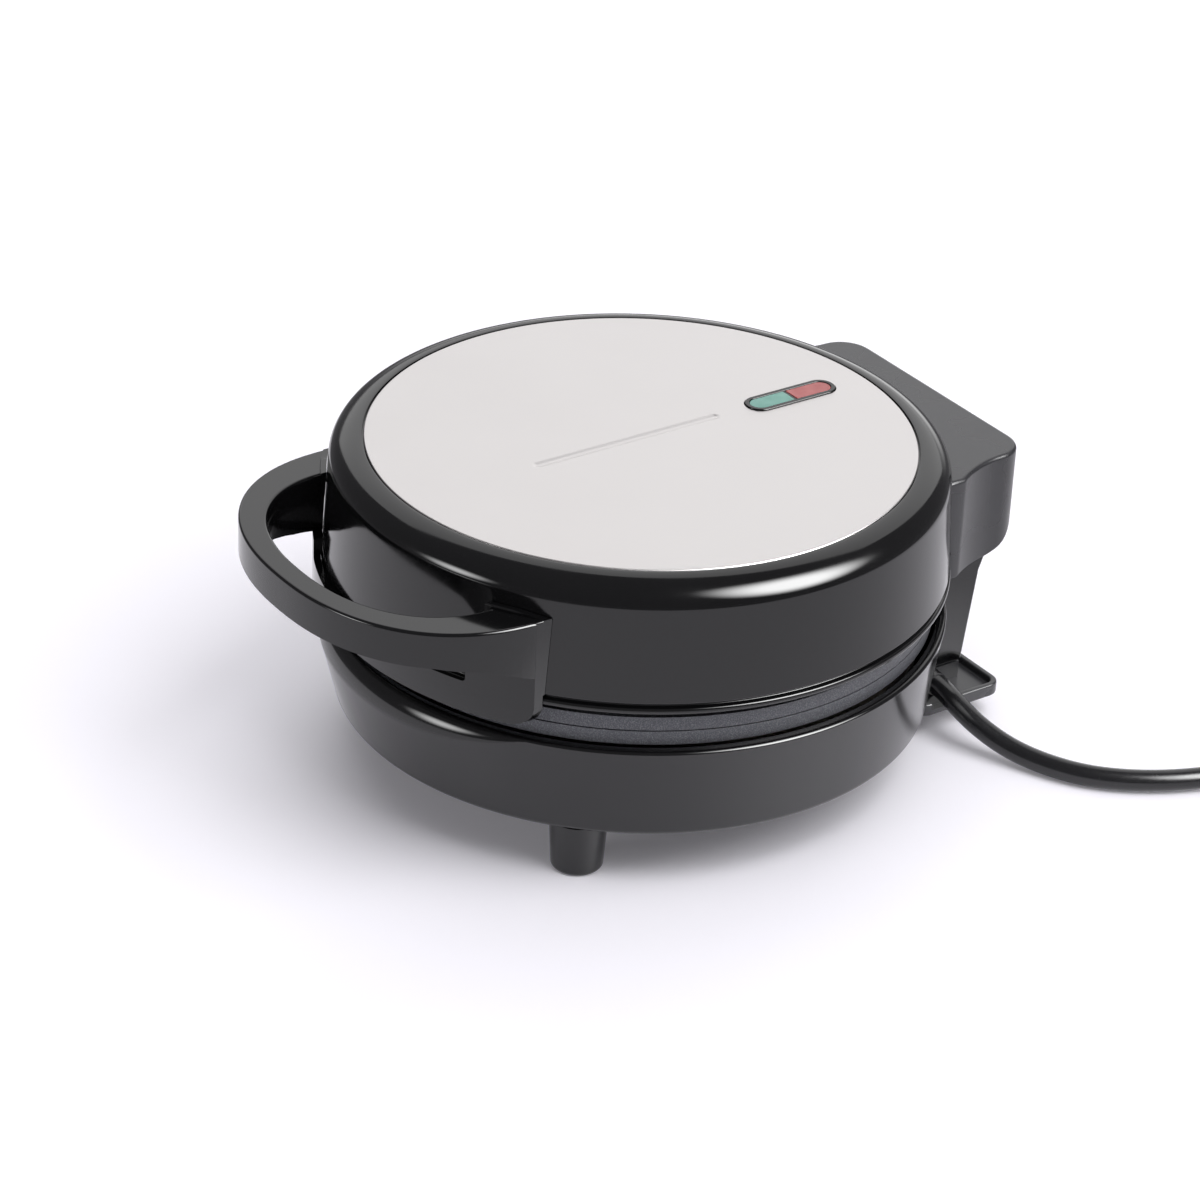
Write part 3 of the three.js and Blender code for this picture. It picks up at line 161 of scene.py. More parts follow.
# %% [markdown]
# ## Glossy black ABS
# The housings, the handle and the feet are injection moulded ABS from a polished mould. The
# plastic is nearly black, so almost all that the eye sees is what it mirrors. A polished mould
# leaves a faint waviness, a centimetre or two long, and handling leaves a film that dulls the
# gloss in soft patches.

# %% Glossy black ABS
gloss_abs = patterned(
    "gloss_black_abs_moulded",
    {"Base Color": colour("#0d0d0e"), "IOR": 1.54},
    ("Roughness", 22, 3.0, (0.35, 0.7), (0.08, 0.15)),
    ("Normal", 16, 1.0, 0.25, 0.02),
)
print("made", gloss_abs.name)

# %% [markdown]
# ## Satin black polypropylene
# The hood and the cord tray come from a mould whose faces were spark eroded, which leaves an even
# grain of just under half a millimetre. It spreads the light, so the top of the hood looks grey.

# %% Satin black plastic
satin_pp = patterned(
    "satin_black_polypropylene_moulded",
    {"Base Color": colour("#2e2e31"), "IOR": 1.55},
    ("Roughness", 30, 2.0, (0.35, 0.7), (0.24, 0.33)),
    ("Normal", 0.45, 2.0, 0.35, 0.05),
)
print("made", satin_pp.name)

# %% [markdown]
# ## Brushed stainless steel
# The disc is thin stainless sheet with a fine straight brushing, seen as a soft satin. The real
# scratches are a few hundredths of a millimetre wide, so they are drawn about ten times coarser,
# long beside the pressed line and narrow across it. They change the roughness and tilt the
# surface a little, and a slow variation stands for the film that fingers leave.

# %% Brushed steel
SCRATCH_WIDTH = 0.35
SCRATCH_LENGTH = 14
SCRATCH_SHARE = 0.4
FILM_SIZE = 35

brushed_steel, tree, here = new_material("stainless_steel_brushed")
stretched = add_node(
    tree,
    "ShaderNodeMapping",
    {"Scale": [1 / (size * MM) for size in (SCRATCH_WIDTH, SCRATCH_LENGTH, SCRATCH_LENGTH)]},
    {"Vector": here},
)
scratches = add_node(
    tree, "ShaderNodeTexNoise", {"Scale": 1.0, "Detail": 3.0}, {"Vector": stretched.outputs["Vector"]}
)
film = add_node(tree, "ShaderNodeTexNoise", {"Scale": 1 / (FILM_SIZE * MM), "Detail": 3.0}, {"Vector": here})
both = add_node(
    tree,
    "ShaderNodeMath",
    {1: SCRATCH_SHARE},
    {0: scratches.outputs["Fac"], 2: film.outputs["Fac"]},
    operation="MULTIPLY_ADD",
)
satin = add_node(
    tree,
    "ShaderNodeMapRange",
    {"From Min": 0.45, "From Max": 0.95, "To Min": 0.32, "To Max": 0.38},
    {"Value": both.outputs["Value"]},
)
relief = {"Strength": 0.1, "Distance": 0.01 * MM}
tilt = add_node(tree, "ShaderNodeBump", relief, {"Height": scratches.outputs["Fac"]})
shader = add_node(
    tree,
    "ShaderNodeBsdfPrincipled",
    {"Base Color": colour("#d6d3d2"), "Metallic": 1.0},
    {"Roughness": satin.outputs["Result"], "Normal": tilt.outputs["Normal"]},
)
add_node(tree, "ShaderNodeOutputMaterial", links={"Surface": shader.outputs["BSDF"]})
print("made", brushed_steel.name)

# %% [markdown]
# ## Cast aluminium with a non-stick coat
# The baking plates are die cast and sprayed with a dark PTFE coat. The coat follows the cast skin
# and holds tiny pale flakes, so close to it looks speckled, and it is neither shiny nor dull. The
# real flakes are about a tenth of a millimetre, and are drawn at four tenths so that they show.

# %% Non-stick coat
coated_cast = patterned(
    "cast_aluminium_nonstick_coat",
    {"Roughness": 0.42, "IOR": 1.4},
    ("Base Color", 0.4, 2.0, (0.45, 0.72), ("#505156", "#76787d")),
    ("Normal", 0.9, 3.0, 0.35, 0.05),
)
print("made", coated_cast.name)

# %% [markdown]
# ## Metals inside
# Screws and the pin are zinc plated, the shields and the elements' sheaths are plain steel that
# heat has tinted straw in places, and the plug's pins are nickel plated brass.

# %% Metals
metals = {}
for name, tints, roughness, size in [
    ("zinc_plated_steel", ("#c3c6ca", "#a6a8a8"), (0.22, 0.36), 5),
    ("sheet_steel_heat_tinted", ("#b7b4ae", "#9c8f7c"), (0.3, 0.5), 24),
    ("nickel_plated_brass", ("#d6cfbd", "#c9b98e"), (0.14, 0.28), 4),
]:
    metals[name] = patterned(
        name,
        {"Metallic": 1.0},
        ("Base Color", size, 4.0, (0.4, 0.75), tints),
        ("Roughness", size, 4.0, (0.3, 0.7), roughness),
    )
print("made", ", ".join(metals))

# %% [markdown]
# ## Lenses
# The window has a green and a red lens of tinted clear polystyrene over two small lamps. They are
# not lit. From outside they look milky, with a smooth face, because the inside is frosted.

# %% Lens plastics
lenses = {}
for name, tints in [
    ("green_tinted_polystyrene", ("#62a294", "#78b3a6")),
    ("red_tinted_polystyrene", ("#b24e4d", "#c26563")),
]:
    clear = {"Roughness": 0.12, "IOR": 1.59, "Transmission Weight": 0.25}
    lenses[name] = patterned(name, clear, ("Base Color", 5, 1.0, (0.3, 0.75), tints))
print("made", ", ".join(lenses))

# %% [markdown]
# ## Cord, ceramic and glass
# The mains cord has a sheath of soft black PVC, with a slight sheen and a fine unevenness from
# extrusion. The terminal block and the thermostat are fired steatite, matt and off-white with
# faint specks, and the lamps are small glass tubes.

# %% PVC, ceramic and glass
cord_pvc = patterned(
    "black_pvc_extruded",
    {"Base Color": colour("#1d1d1f"), "IOR": 1.53},
    ("Roughness", 1.2, 3.0, (0.3, 0.75), (0.2, 0.28)),
    ("Normal", 1.2, 3.0, 0.12, 0.02),
)
steatite = patterned(
    "steatite_ceramic_fired",
    {"Roughness": 0.6},
    ("Base Color", 0.8, 4.0, (0.3, 0.5), ("#cdc6b6", "#e9e5da")),
)
lamp_glass = patterned(
    "lamp_glass_drawn",
    {"Base Color": colour("#f2e6d8"), "Roughness": 0.06, "IOR": 1.5, "Transmission Weight": 0.85},
    ("Normal", 3, 2.0, 0.2, 0.05),
)
print("made", cord_pvc.name, steatite.name, lamp_glass.name)

# %% [markdown]
# ## Shaping helpers
# Two starting shapes serve nearly every piece. A lathe spins a half section about the upright
# axis, as a potter would. A slab is a flat outline carried along a straight line.

# %% Arcs, outlines, lathe and slab
ROUND_STEPS = 256  # round the housings
ONE_POINT = 0.001  # points closer than this, in mm, are one point


def arc(middle, wide, high, start, end, steps=8):
    """Points of an ellipse's arc about a middle, between two angles in degrees."""
    turns = [math.radians(start + (end - start) * i / steps) for i in range(steps + 1)]
    return [(middle[0] + wide * math.cos(t), middle[1] + high * math.sin(t)) for t in turns]


def rounded(left, right, low, high, corner, steps=8):
    """The outline of a rectangle with round corners."""
    return (
        arc((right - corner, high - corner), corner, corner, 0, 90, steps)
        + arc((left + corner, high - corner), corner, corner, 90, 180, steps)
        + arc((left + corner, low + corner), corner, corner, 180, 270, steps)
        + arc((right - corner, low + corner), corner, corner, 270, 360, steps)
    )


def lathe(profile, steps=ROUND_STEPS, closed=False):
    """A line of (radius, height) points spun about the upright axis."""
    shape = bmesh.new()
    line = [shape.verts.new((radius * MM, 0, height * MM)) for radius, height in profile]
    if closed:
        line.append(line[0])
    edges = [shape.edges.new(pair) for pair in zip(line, line[1:])]
    bmesh.ops.spin(
        shape,
        geom=line[: len(profile)] + edges,
        cent=(0, 0, 0),
        axis=(0, 0, 1),
        angle=2 * math.pi,
        steps=steps,
        use_merge=True,
    )
    bmesh.ops.remove_doubles(shape, verts=shape.verts, dist=ONE_POINT * MM)
    bmesh.ops.recalc_face_normals(shape, faces=shape.faces)
    return shape


def slab(outline, along):
    """A flat outline of points carried along a vector."""
    shape = bmesh.new()
    face = shape.faces.new([shape.verts.new(Vector(point) * MM) for point in outline])
    grown = bmesh.ops.extrude_face_region(shape, geom=[face])["geom"]
    moved = [item for item in grown if isinstance(item, bmesh.types.BMVert)]
    bmesh.ops.translate(shape, verts=moved, vec=Vector(along) * MM)
    bmesh.ops.recalc_face_normals(shape, faces=shape.faces)
    return shape


def upright(outline, low, high):
    """A slab that stands on a plan of (x, y) points."""
    return slab([(x, y, low) for x, y in outline], (0, 0, high - low))


def sideways(outline, left, right):
    """A slab whose side view of (y, z) points reaches from left to right."""
    return slab([(left, y, z) for y, z in outline], (right - left, 0, 0))


def frontways(outline, front, back):
    """A slab whose front view of (x, z) points reaches from front to back."""
    return slab([(x, front, z) for x, z in outline], (0, back - front, 0))


def box(left, right, front, back, low, high):
    """A plain cutting block."""
    return upright([(left, front), (right, front), (right, back), (left, back)], low, high)


print("a quarter arc has", len(arc((0, 0), 1, 1, 0, 90)), "points")

# %% [markdown]
# ## Joining, cutting and finishing
# A boolean modifier is applied at once, so that later steps see the cut mesh, and a bevel breaks
# the edges as a mould does. The last helper moves a piece from the housings' axis to its place,
# shades it smooth except where two faces meet sharply, gives it its finish, and hands it to the
# frame: the body that it moves with, and the plain solids that it replaces.

# %% Booleans, bevels and the hand-over
SHARP_FROM = 35  # degrees, for the shading
BREAK_FROM = 50  # degrees, for the edges that a bevel rounds
SPLINTER = 0.005  # edges shorter than this, in mm, go before a bevel


def thing(name, shape):
    """A closed shape as an object of the scene."""
    mesh = bpy.data.meshes.new(name)
    shape.to_mesh(mesh)
    shape.free()
    made = bpy.data.objects.new(name, mesh)
    bpy.context.scene.collection.objects.link(made)
    return made


def taken_back(made):
    """The shape of an object that is itself no longer needed."""
    shape = bmesh.new()
    shape.from_mesh(made.data)
    bpy.data.objects.remove(made)
    return shape


def combine(made, operation, *shapes):
    """The object joined with each shape, limited to it or cut by it."""
    for shape in shapes:
        tool = thing("tool", shape)
        step = made.modifiers.new("step", "BOOLEAN")
        step.operation = operation
        step.solver = "EXACT"
        step.object = tool
        graph = bpy.context.evaluated_depsgraph_get()
        mesh = bpy.data.meshes.new_from_object(made.evaluated_get(graph))
        made.modifiers.clear()
        made.data = mesh
        bpy.data.objects.remove(tool)


def cut(made, *shapes):
    """The object without each shape."""
    combine(made, "DIFFERENCE", *shapes)


def break_edges(made, width, segments=3, above=-1):
    """Every sharp edge that lies above a height in mm gets a small round."""
    shape = bmesh.new()
    shape.from_mesh(made.data)
    bmesh.ops.remove_doubles(shape, verts=shape.verts, dist=SPLINTER * MM)
    bmesh.ops.dissolve_degenerate(shape, edges=shape.edges, dist=SPLINTER * MM)
    sharp = [
        edge
        for edge in shape.edges
        if edge.is_manifold
        and edge.calc_face_angle(0) > math.radians(BREAK_FROM)
        and min(end.co.z for end in edge.verts) > above * MM
    ]
    bmesh.ops.bevel(
        shape,
        geom=sharp,
        offset=width * MM,
        offset_type="OFFSET",
        segments=segments,
        profile=0.5,
        affect="EDGES",
        material=-1,
        clamp_overlap=True,
    )
    shape.to_mesh(made.data)
    shape.free()


def hand_over(made, body, slot, material, *nodes):
    """Puts a piece in its place and gives it its finish, its body and its nodes."""
    made.data.transform(Matrix.Translation((0, AXIS_BACK * MM, 0)))
    made.data.materials.clear()
    made.data.materials.append(material)
    made.data.shade_smooth()
    made.data.set_sharp_from_angle(angle=math.radians(SHARP_FROM))
    even = made.modifiers.new("even_shading", "WEIGHTED_NORMAL")
    even.keep_sharp = True
    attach(made, body)
    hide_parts(*nodes)
    print(made.name, "has", len(made.data.polygons), "faces")
    return made


print("helpers ready")

# %% [markdown]
# ## Lower housing
# The tub has a wall that widens upwards and a soft shoulder under the baking plate. In front,
# below the handle, the wall's edge dips and bulges to a lip. The wall is spun as one section, and
# then the points of its shoulder are lowered and pushed out by their angle from the handle. The
# floor has two rows of slots for air.

# %% Lower housing
OVERRUN = 4  # how far a cutting shape reaches past what it cuts
FLAT_LEFT = 0.01  # the short straight between the round corners of a slot
FOOT_HEIGHT = 18.5
BASE_FLOOR = 21.1
WALL_FOOT = 95.8
WALL_FOOT_EDGE = 2.2
RIM_RADIUS = 102
RIM_HEIGHT = 50
SHOULDER_WIDE = 2.2
SHOULDER_HIGH = 1.2
LIP_DROP = 8
LIP_BULGE = 2.6
LIP_HALF_ANGLE = 36
LIP_SHARPNESS = 2.6
VENT_COUNT = 5
VENT_PITCH = 9
VENT_HALF_WIDTH = 1.5
VENT_HALF_LENGTH = 13
VENT_ROW = 46  # from the axis to the middle of a row


def stadium(half, front, back, steps, middle=0):
    """The outline of a slot with round ends, from its half width, its front and its back."""
    return rounded(middle - half, middle + half, front, back, half - FLAT_LEFT, steps)


wall_foot = arc((WALL_FOOT, FOOT_HEIGHT + WALL_FOOT_EDGE), WALL_FOOT_EDGE, WALL_FOOT_EDGE, -90, 0)
shoulder = arc((RIM_RADIUS - SHOULDER_WIDE, RIM_HEIGHT), SHOULDER_WIDE, SHOULDER_HIGH, 0, 90, 10)
inner_wall = [(98.9, 51.1), (98.5, 50.7), (98.5, 49.9), (96.8, 39.4), (95.4, BASE_FLOOR)]
tub = lathe([(0, FOOT_HEIGHT)] + wall_foot + shoulder + inner_wall + [(0, BASE_FLOOR)])
for point in tub.verts:
    out = math.hypot(point.co.x, point.co.y) / MM
    across = (out - RIM_RADIUS + SHOULDER_WIDE) / SHOULDER_WIDE
    up = (point.co.z / MM - RIM_HEIGHT) / SHOULDER_HIGH
    if up < -ONE_POINT or across < -ONE_POINT:
        continue
    from_handle = abs(math.degrees(math.atan2(point.co.x, -point.co.y)))
    share = max(0, 1 - (from_handle / LIP_HALF_ANGLE) ** LIP_SHARPNESS)
    grown = (out + LIP_BULGE * share * across) / out
    point.co.x *= grown
    point.co.y *= grown
    point.co.z -= LIP_DROP * share * (1 - up) * MM
lower_housing = thing("lower_housing_moulding", tub)
for row in (-VENT_ROW, VENT_ROW):
    for i in range(VENT_COUNT):
        x = (i - VENT_COUNT // 2) * VENT_PITCH
        vent = stadium(VENT_HALF_WIDTH, row - VENT_HALF_LENGTH, row + VENT_HALF_LENGTH, 5, middle=x)
        cut(lower_housing, upright(vent, FOOT_HEIGHT - OVERRUN, BASE_FLOOR + OVERRUN))
hand_over(lower_housing, "base", "gloss_black_plastic", gloss_abs, "lower_housing")

# %% [markdown]
# ## Feet
# Two tall tapered feet stand under the housing in front, and two short ones under the cord tray.
# Their soles are hollow by 1.2 mm inside a narrow ring, and their lower edges are round.

# %% Feet
FOOT_EDGE = 1.6

for name, x, y, top_radius, radius, height in [
    ("foot_front_right", 61.66, -61.66, 9.4, 8.4, 18.2),
    ("foot_front_left", -61.66, -61.66, 9.4, 8.4, 18.2),
    ("foot_rear_right", 20, 95.5, 6.5, 6.5, 7.2),
    ("foot_rear_left", -20, 95.5, 6.5, 6.5, 7.2),
]:
    sole = [(0, 1.2), (radius - 3.2, 1.2), (radius - 2.6, 0.6), (radius - 2.2, 0)]
    edge = arc((radius - FOOT_EDGE, FOOT_EDGE), FOOT_EDGE, FOOT_EDGE, -90, 0, 6)
    foot = lathe(sole + edge + [(top_radius, height), (0, height)], steps=64)
    bmesh.ops.translate(foot, verts=foot.verts, vec=Vector((x, y, 0)) * MM)
    hand_over(thing(name + "_moulding", foot), "base", "gloss_black_plastic", gloss_abs, name)

# %% [markdown]
# ## Upper housing
# The lid's shell is one spun section: a rolled lip at its foot, a groove above it, a wall that
# leans in a little, and a full round shoulder up to the seat of the disc.

# %% Upper housing
DISC_RADIUS = 88.7
DISC_TOP = 107.3
SEAT_HEIGHT = 106.2
SEAT_RADIUS = 89.2
ROOF_UNDERSIDE = 103.8
LID_FOOT = 64.5
LID_WALL_TOP = 99
WINDOW_HALF_WIDTH = 5
WINDOW_HALF_LENGTH = 17.25
WINDOW_MIDDLE = 59.2
WINDOW_FRAME = 0.55  # the hole in the roof is smaller than the bezel by this, all round

lip = arc((101.6, LID_FOOT + 1), 0.5, 1.0, -90, 90)
lip_groove = arc((101.2, 67.2), 0.9, 0.6, 230, 130, 6)
wall_start = arc((101.2, 68.4), 0.4, 0.5, -60, 0, 4)
lid_shoulder = arc((SEAT_RADIUS, LID_WALL_TOP), 10.7, 8.3, 0, 88, 24)
seat = [(89.25, 107.2), (SEAT_RADIUS, 107.0), (SEAT_RADIUS, SEAT_HEIGHT), (0, SEAT_HEIGHT)]
lid_inside = [(0, ROOF_UNDERSIDE), (88.7, ROOF_UNDERSIDE), (97.3, 96.4), (97.7, 68), (97.7, LID_FOOT)]
shell = lip + lip_groove + wall_start + lid_shoulder + seat + lid_inside
upper_housing = thing("upper_housing_moulding", lathe(shell, closed=True))


def window(margin):
    """The stadium outline of the window in the disc, drawn in by a margin."""
    half_length = WINDOW_HALF_LENGTH - margin
    front, back = WINDOW_MIDDLE - half_length, WINDOW_MIDDLE + half_length
    return stadium(WINDOW_HALF_WIDTH - margin, front, back, 12)


hole = upright(window(WINDOW_FRAME), ROOF_UNDERSIDE - OVERRUN, DISC_TOP + OVERRUN)
cut(upper_housing, hole)
hand_over(upper_housing, "lid", "gloss_black_plastic", gloss_abs, "upper_housing")

# %% [markdown]
# ## Steel disc
# The disc is pressed from thin sheet, so its rim is turned down with a small round and a straight
# line is sunk in the middle. The line is a stack of stadium outlines, each one narrower and a
# little deeper than the last, along a bell-shaped fall. It starts a hair above the disc, so that
# no face of the cutting shape lies in the disc's own.

# %% Steel disc
DISC_UNDERSIDE = 106.5
DISC_EDGE = 0.5
DISC_GAP = 0.3  # round the window's bezel
CUTTER_TOP = 0.3  # above the disc
LINE_HALF = 2.2
LINE_DEPTH = 0.46
LINE_FRONT = -41.6
LINE_BACK = 31
LINE_STEPS = 8
LINE_STEP_WIDTH = 0.24
HAIR = 0.004

edge = arc((DISC_RADIUS - DISC_EDGE, DISC_TOP - DISC_EDGE), DISC_EDGE, DISC_EDGE, 0, 90, 6)
disc = lathe([(0, DISC_UNDERSIDE), (DISC_RADIUS, DISC_UNDERSIDE)] + edge + [(0, DISC_TOP)])
fall = [(1 - math.cos(math.pi * i / LINE_STEPS)) / 2 for i in range(LINE_STEPS + 1)]
heights = [CUTTER_TOP] + [HAIR - LINE_DEPTH * share for share in fall]
margins = [0] + [i * LINE_STEP_WIDTH for i in range(LINE_STEPS + 1)]
groove = bmesh.new()
rings = []
for margin, height in zip(margins, heights):
    outline = stadium(LINE_HALF - margin, LINE_FRONT + margin, LINE_BACK - margin, 8)
    rings.append([groove.verts.new((x * MM, y * MM, (DISC_TOP + height) * MM)) for x, y in outline])
groove.faces.new(rings[0])
groove.faces.new(rings[-1])
for upper, lower in zip(rings, rings[1:]):
    for i in range(len(upper)):
        groove.faces.new((upper[i - 1], upper[i], lower[i], lower[i - 1]))
bmesh.ops.recalc_face_normals(groove, faces=groove.faces)
steel_disc = thing("steel_disc_pressed", disc)
cut(steel_disc, groove)
cut(steel_disc, upright(window(-DISC_GAP), DISC_TOP - OVERRUN, DISC_TOP + OVERRUN))
hand_over(steel_disc, "lid", "brushed_steel_disc", brushed_steel, "steel_disc")

# %% [markdown]
# ## Indicator window
# A black bezel with a rounded collar sits in the disc, and two tinted lenses lie in it, green
# towards the handle and red towards the hinge, with a narrow bridge between them.

# %% Bezel and lenses
BEZEL_TOP = 107.8
BEZEL_FOOT = 106.55
BEZEL_WIDTH = 1.5
BRIDGE_FOOT = 105.2
BRIDGE_HALF_WIDTH = 0.5
LENS_TOP = 107.6
LENS_FOOT = 105.0
LENS_GAP = 0.05

bezel = thing("window_bezel_moulding", upright(window(0), BEZEL_FOOT, BEZEL_TOP))
cut(bezel, upright(window(BEZEL_WIDTH), 100, 110))
break_edges(bezel, 0.45)
near, far = WINDOW_MIDDLE - BRIDGE_HALF_WIDTH, WINDOW_MIDDLE + BRIDGE_HALF_WIDTH
combine(bezel, "UNION", box(-3.6, 3.6, near, far, BRIDGE_FOOT, DISC_TOP))
hand_over(bezel, "lid", "satin_black_plastic", gloss_abs, "window_bezel")
for name, side, material in [
    ("green_lens", -1, "green_tinted_polystyrene"),
    ("red_lens", 1, "red_tinted_polystyrene"),
]:
    lens = thing(name + "_moulding", upright(window(BEZEL_WIDTH + LENS_GAP), LENS_FOOT, LENS_TOP))
    beside_bridge = BRIDGE_HALF_WIDTH + LENS_GAP
    near, far = sorted((WINDOW_MIDDLE + side * beside_bridge, WINDOW_MIDDLE + side * 30))
    combine(lens, "INTERSECT", box(-10, 10, near, far, 100, 112))
    break_edges(lens, 0.5)
    hand_over(lens, "lid", name, lenses[material], name)

# %% [markdown]
# ## Handle
# The handle is a flat loop, wide and D-shaped, that grows out of an apron hugging the lid's wall.
# Its outlines are ellipses, a little squarer than true ones. The loop, a rib below it, the apron
# and two beads beside the opening are shaped one by one and then joined. A small skin between
# their sizes keeps their faces out of one plane. The lid is cut away last, so that the handle fits
# its wall.

# %% Handle
HANDLE_TOP = 94
HANDLE_FULLNESS = 2.25  # 2 is an ellipse, and more is squarer
HANDLE_HALF_WIDTH = 65
INSIDE_LID = -34.9  # where the loop's ends are closed, behind the lid's wall
FRONT, BACK = -134, -44  # what is drawn in the front view reaches between these
APRON_RADIUS = 104.8
APRON_FOOT = 57
APRON_TOP = 93.6
APRON_CORNER = 7
OPENING_FOOT = 74
OPENING_BACK = -35
SKIN = 0.04


def full_ellipse(half, reach, depth, steps=64):
    """The front of a loop, from left to right."""
    points = []
    power = 2 / HANDLE_FULLNESS
    for i in range(steps + 1):
        turn = math.pi * i / steps
        across = math.copysign(abs(math.cos(turn)) ** power, -math.cos(turn))
        points.append((half * across, -(reach - depth) - depth * math.sin(turn) ** power))
    return points


def fingers(margin):
    """The front of the finger opening, let out by a margin."""
    return full_ellipse(50.5 + margin, 126 + margin, 38)


def band(outer, inner):
    """A plan between two fronts, whose ends are closed inside the lid."""
    right = [(outer[-1][0], INSIDE_LID), (inner[-1][0], INSIDE_LID)]
    left = [(inner[0][0], INSIDE_LID), (outer[0][0], INSIDE_LID)]
    return outer + right + inner[::-1] + left


loop = band(full_ellipse(HANDLE_HALF_WIDTH, 134, 54), fingers(0))
handle = thing("handle_moulding", upright(loop, 66, HANDLE_TOP))
break_edges(handle, 1.0, above=HANDLE_TOP - 0.1)
underside = [(-112, 82), (-103, 80.8), (-98, 80), (-92.6, 78.4), (-87, 76.4), (-80, 73.7), (-30, 73.7)]
combine(handle, "INTERSECT", sideways([(-140, 99), (-140, 82)] + underside + [(-30, 99)], -70, 70))
break_edges(handle, 0.35, segments=2)

rib = thing("rib", upright(band(full_ellipse(53, 128.5, 40.5), fingers(-SKIN)), 66, 89))
rib_side = [(-120, 83), (-112, 80.4), (-107, 78.2), (-100, 75.8), (-92, 74.2), (-86, 73.7), (-30, 73.7)]
combine(rib, "INTERSECT", sideways([(-120, 89.5)] + rib_side + [(-30, 89.5)], -71, 71))

ring = [(94, APRON_FOOT), (APRON_RADIUS, APRON_FOOT), (APRON_RADIUS, APRON_TOP), (94, APRON_TOP)]
apron = thing("apron", lathe(ring, closed=True))
sides = rounded(-HANDLE_HALF_WIDTH, HANDLE_HALF_WIDTH, APRON_FOOT, 101, APRON_CORNER)
combine(apron, "INTERSECT", frontways(sides, FRONT, BACK))
break_edges(apron, 0.5, segments=2)
opening = fingers(SKIN)
opening += [(opening[-1][0], OPENING_BACK), (opening[0][0], OPENING_BACK)]
cut(apron, upright(opening, OPENING_FOOT, 110))
cut(apron, frontways(rounded(-45.3, 45.3, 67.4, 80, 1.2, 5), FRONT, BACK))

pieces = [rib, apron]
for side in (-1, 1):
    section = [(96, 87), (102.5, 87)] + arc((101.9, 94.7), 0.6, 0.6, 0, 90, 5) + [(96, 95.3)]
    bead = thing("bead", lathe(section, closed=True))
    taper = [(48.6, 80), (48.6, 96), (54, 95.8), (64.9, 94), (64.9, 80)]
    combine(bead, "INTERSECT", frontways([(side * x, z) for x, z in taper], FRONT, BACK))
    pieces.append(bead)
for piece in pieces:
    combine(handle, "UNION", taken_back(piece))
beside_lid = [(0, 50), (102.4, 50), (102.4, 68), (101.9, 68), (100.2, 99), (100.2, 112), (0, 112)]
cut(handle, lathe(beside_lid))
hand_over(handle, "lid", "gloss_black_plastic", gloss_abs, "handle")

# %% [markdown]
# ## Hinge hood
# The hood closes over the hinge behind the lid. Its plan widens towards the lid, its top is flat
# and its back turns under in a barrel about the hinge's axis. The plan and the side view are two
# slabs, and the hood is what they have in common. Inside it is hollow, with a slot for each ear.

# %% Hinge hood
HINGE_BACK = 104
HINGE_HEIGHT = 76
HOOD_TOP = 94
HOOD_FOOT = 58
HOOD_BACK = 122
HOOD_HALF_WIDTH = 49
HOOD_CORNER = 11
HOOD_WALL = 2.5
FLARE_WIDTH = 7
FLARE_LENGTH = 22
FLARE_STEPS = 10
EAR_SLOTS = [(-44.8, -33.2), (33.2, 44.8)]


def hood_plan(margin):
    """The hood's plan from the flare to the back on the right, and back on the left."""
    side, back, corner = HOOD_HALF_WIDTH - margin, HOOD_BACK - margin, HOOD_CORNER - margin
    left_over = [1 - i / FLARE_STEPS for i in range(FLARE_STEPS + 1)]
    flare_end = HOOD_BACK - HOOD_CORNER
    flare = [(side + FLARE_WIDTH * share**2, flare_end - FLARE_LENGTH * share) for share in left_over]
    right = flare + arc((side - corner, back - corner), corner, corner, 0, 90, 10)[1:]
    left = [(-x, y) for x, y in reversed(right)]
    return [(right[0][0], 50)] + right + left + [(-right[0][0], 50)]


def hood_side(margin):
    """The hood's side view, round about the hinge."""
    barrel = HOOD_BACK - HINGE_BACK - margin
    round_back = arc((HINGE_BACK, HINGE_HEIGHT), barrel, barrel, -90, 0, 16)
    top = HOOD_TOP - margin
    return [(50, HOOD_FOOT + margin)] + round_back + [(HOOD_BACK - margin, top), (50, top)]


hood = thing("hinge_hood_moulding", upright(hood_plan(0), HOOD_FOOT - 1, HOOD_TOP))
break_edges(hood, 1.4, segments=4, above=HOOD_TOP - 1)
open_above = [(y, z + OVERRUN if z == HOOD_TOP else z) for y, z in hood_side(0)]
combine(hood, "INTERSECT", sideways(open_above, -80, 80))
hollow = thing("hollow", upright(hood_plan(HOOD_WALL), 50, HOOD_TOP - HOOD_WALL))
open_below = [(50, 50), (HINGE_BACK, 50)] + hood_side(HOOD_WALL)[2:]
combine(hollow, "INTERSECT", sideways(open_below, -80, 80))
cut(hood, taken_back(hollow), lathe(beside_lid))
for left, right in EAR_SLOTS:
    cut(hood, box(left, right, HINGE_BACK, 130, 50, 90.5))
hand_over(hood, "lid", "satin_black_plastic", satin_pp, "hinge_hood")

# %% [markdown]
# ## Rear post
# Below the hood a post rises behind the lower housing, with a slightly hollow back, and carries
# two ears for the hinge. Its side view is a slab, and the space between the ears is cut out.

# %% Rear post
POST_HALF_WIDTH = 44
POST_FOOT = 16
EAR_RADIUS = 7.5
EARS_INNER = 34
EARS_FOOT = 55

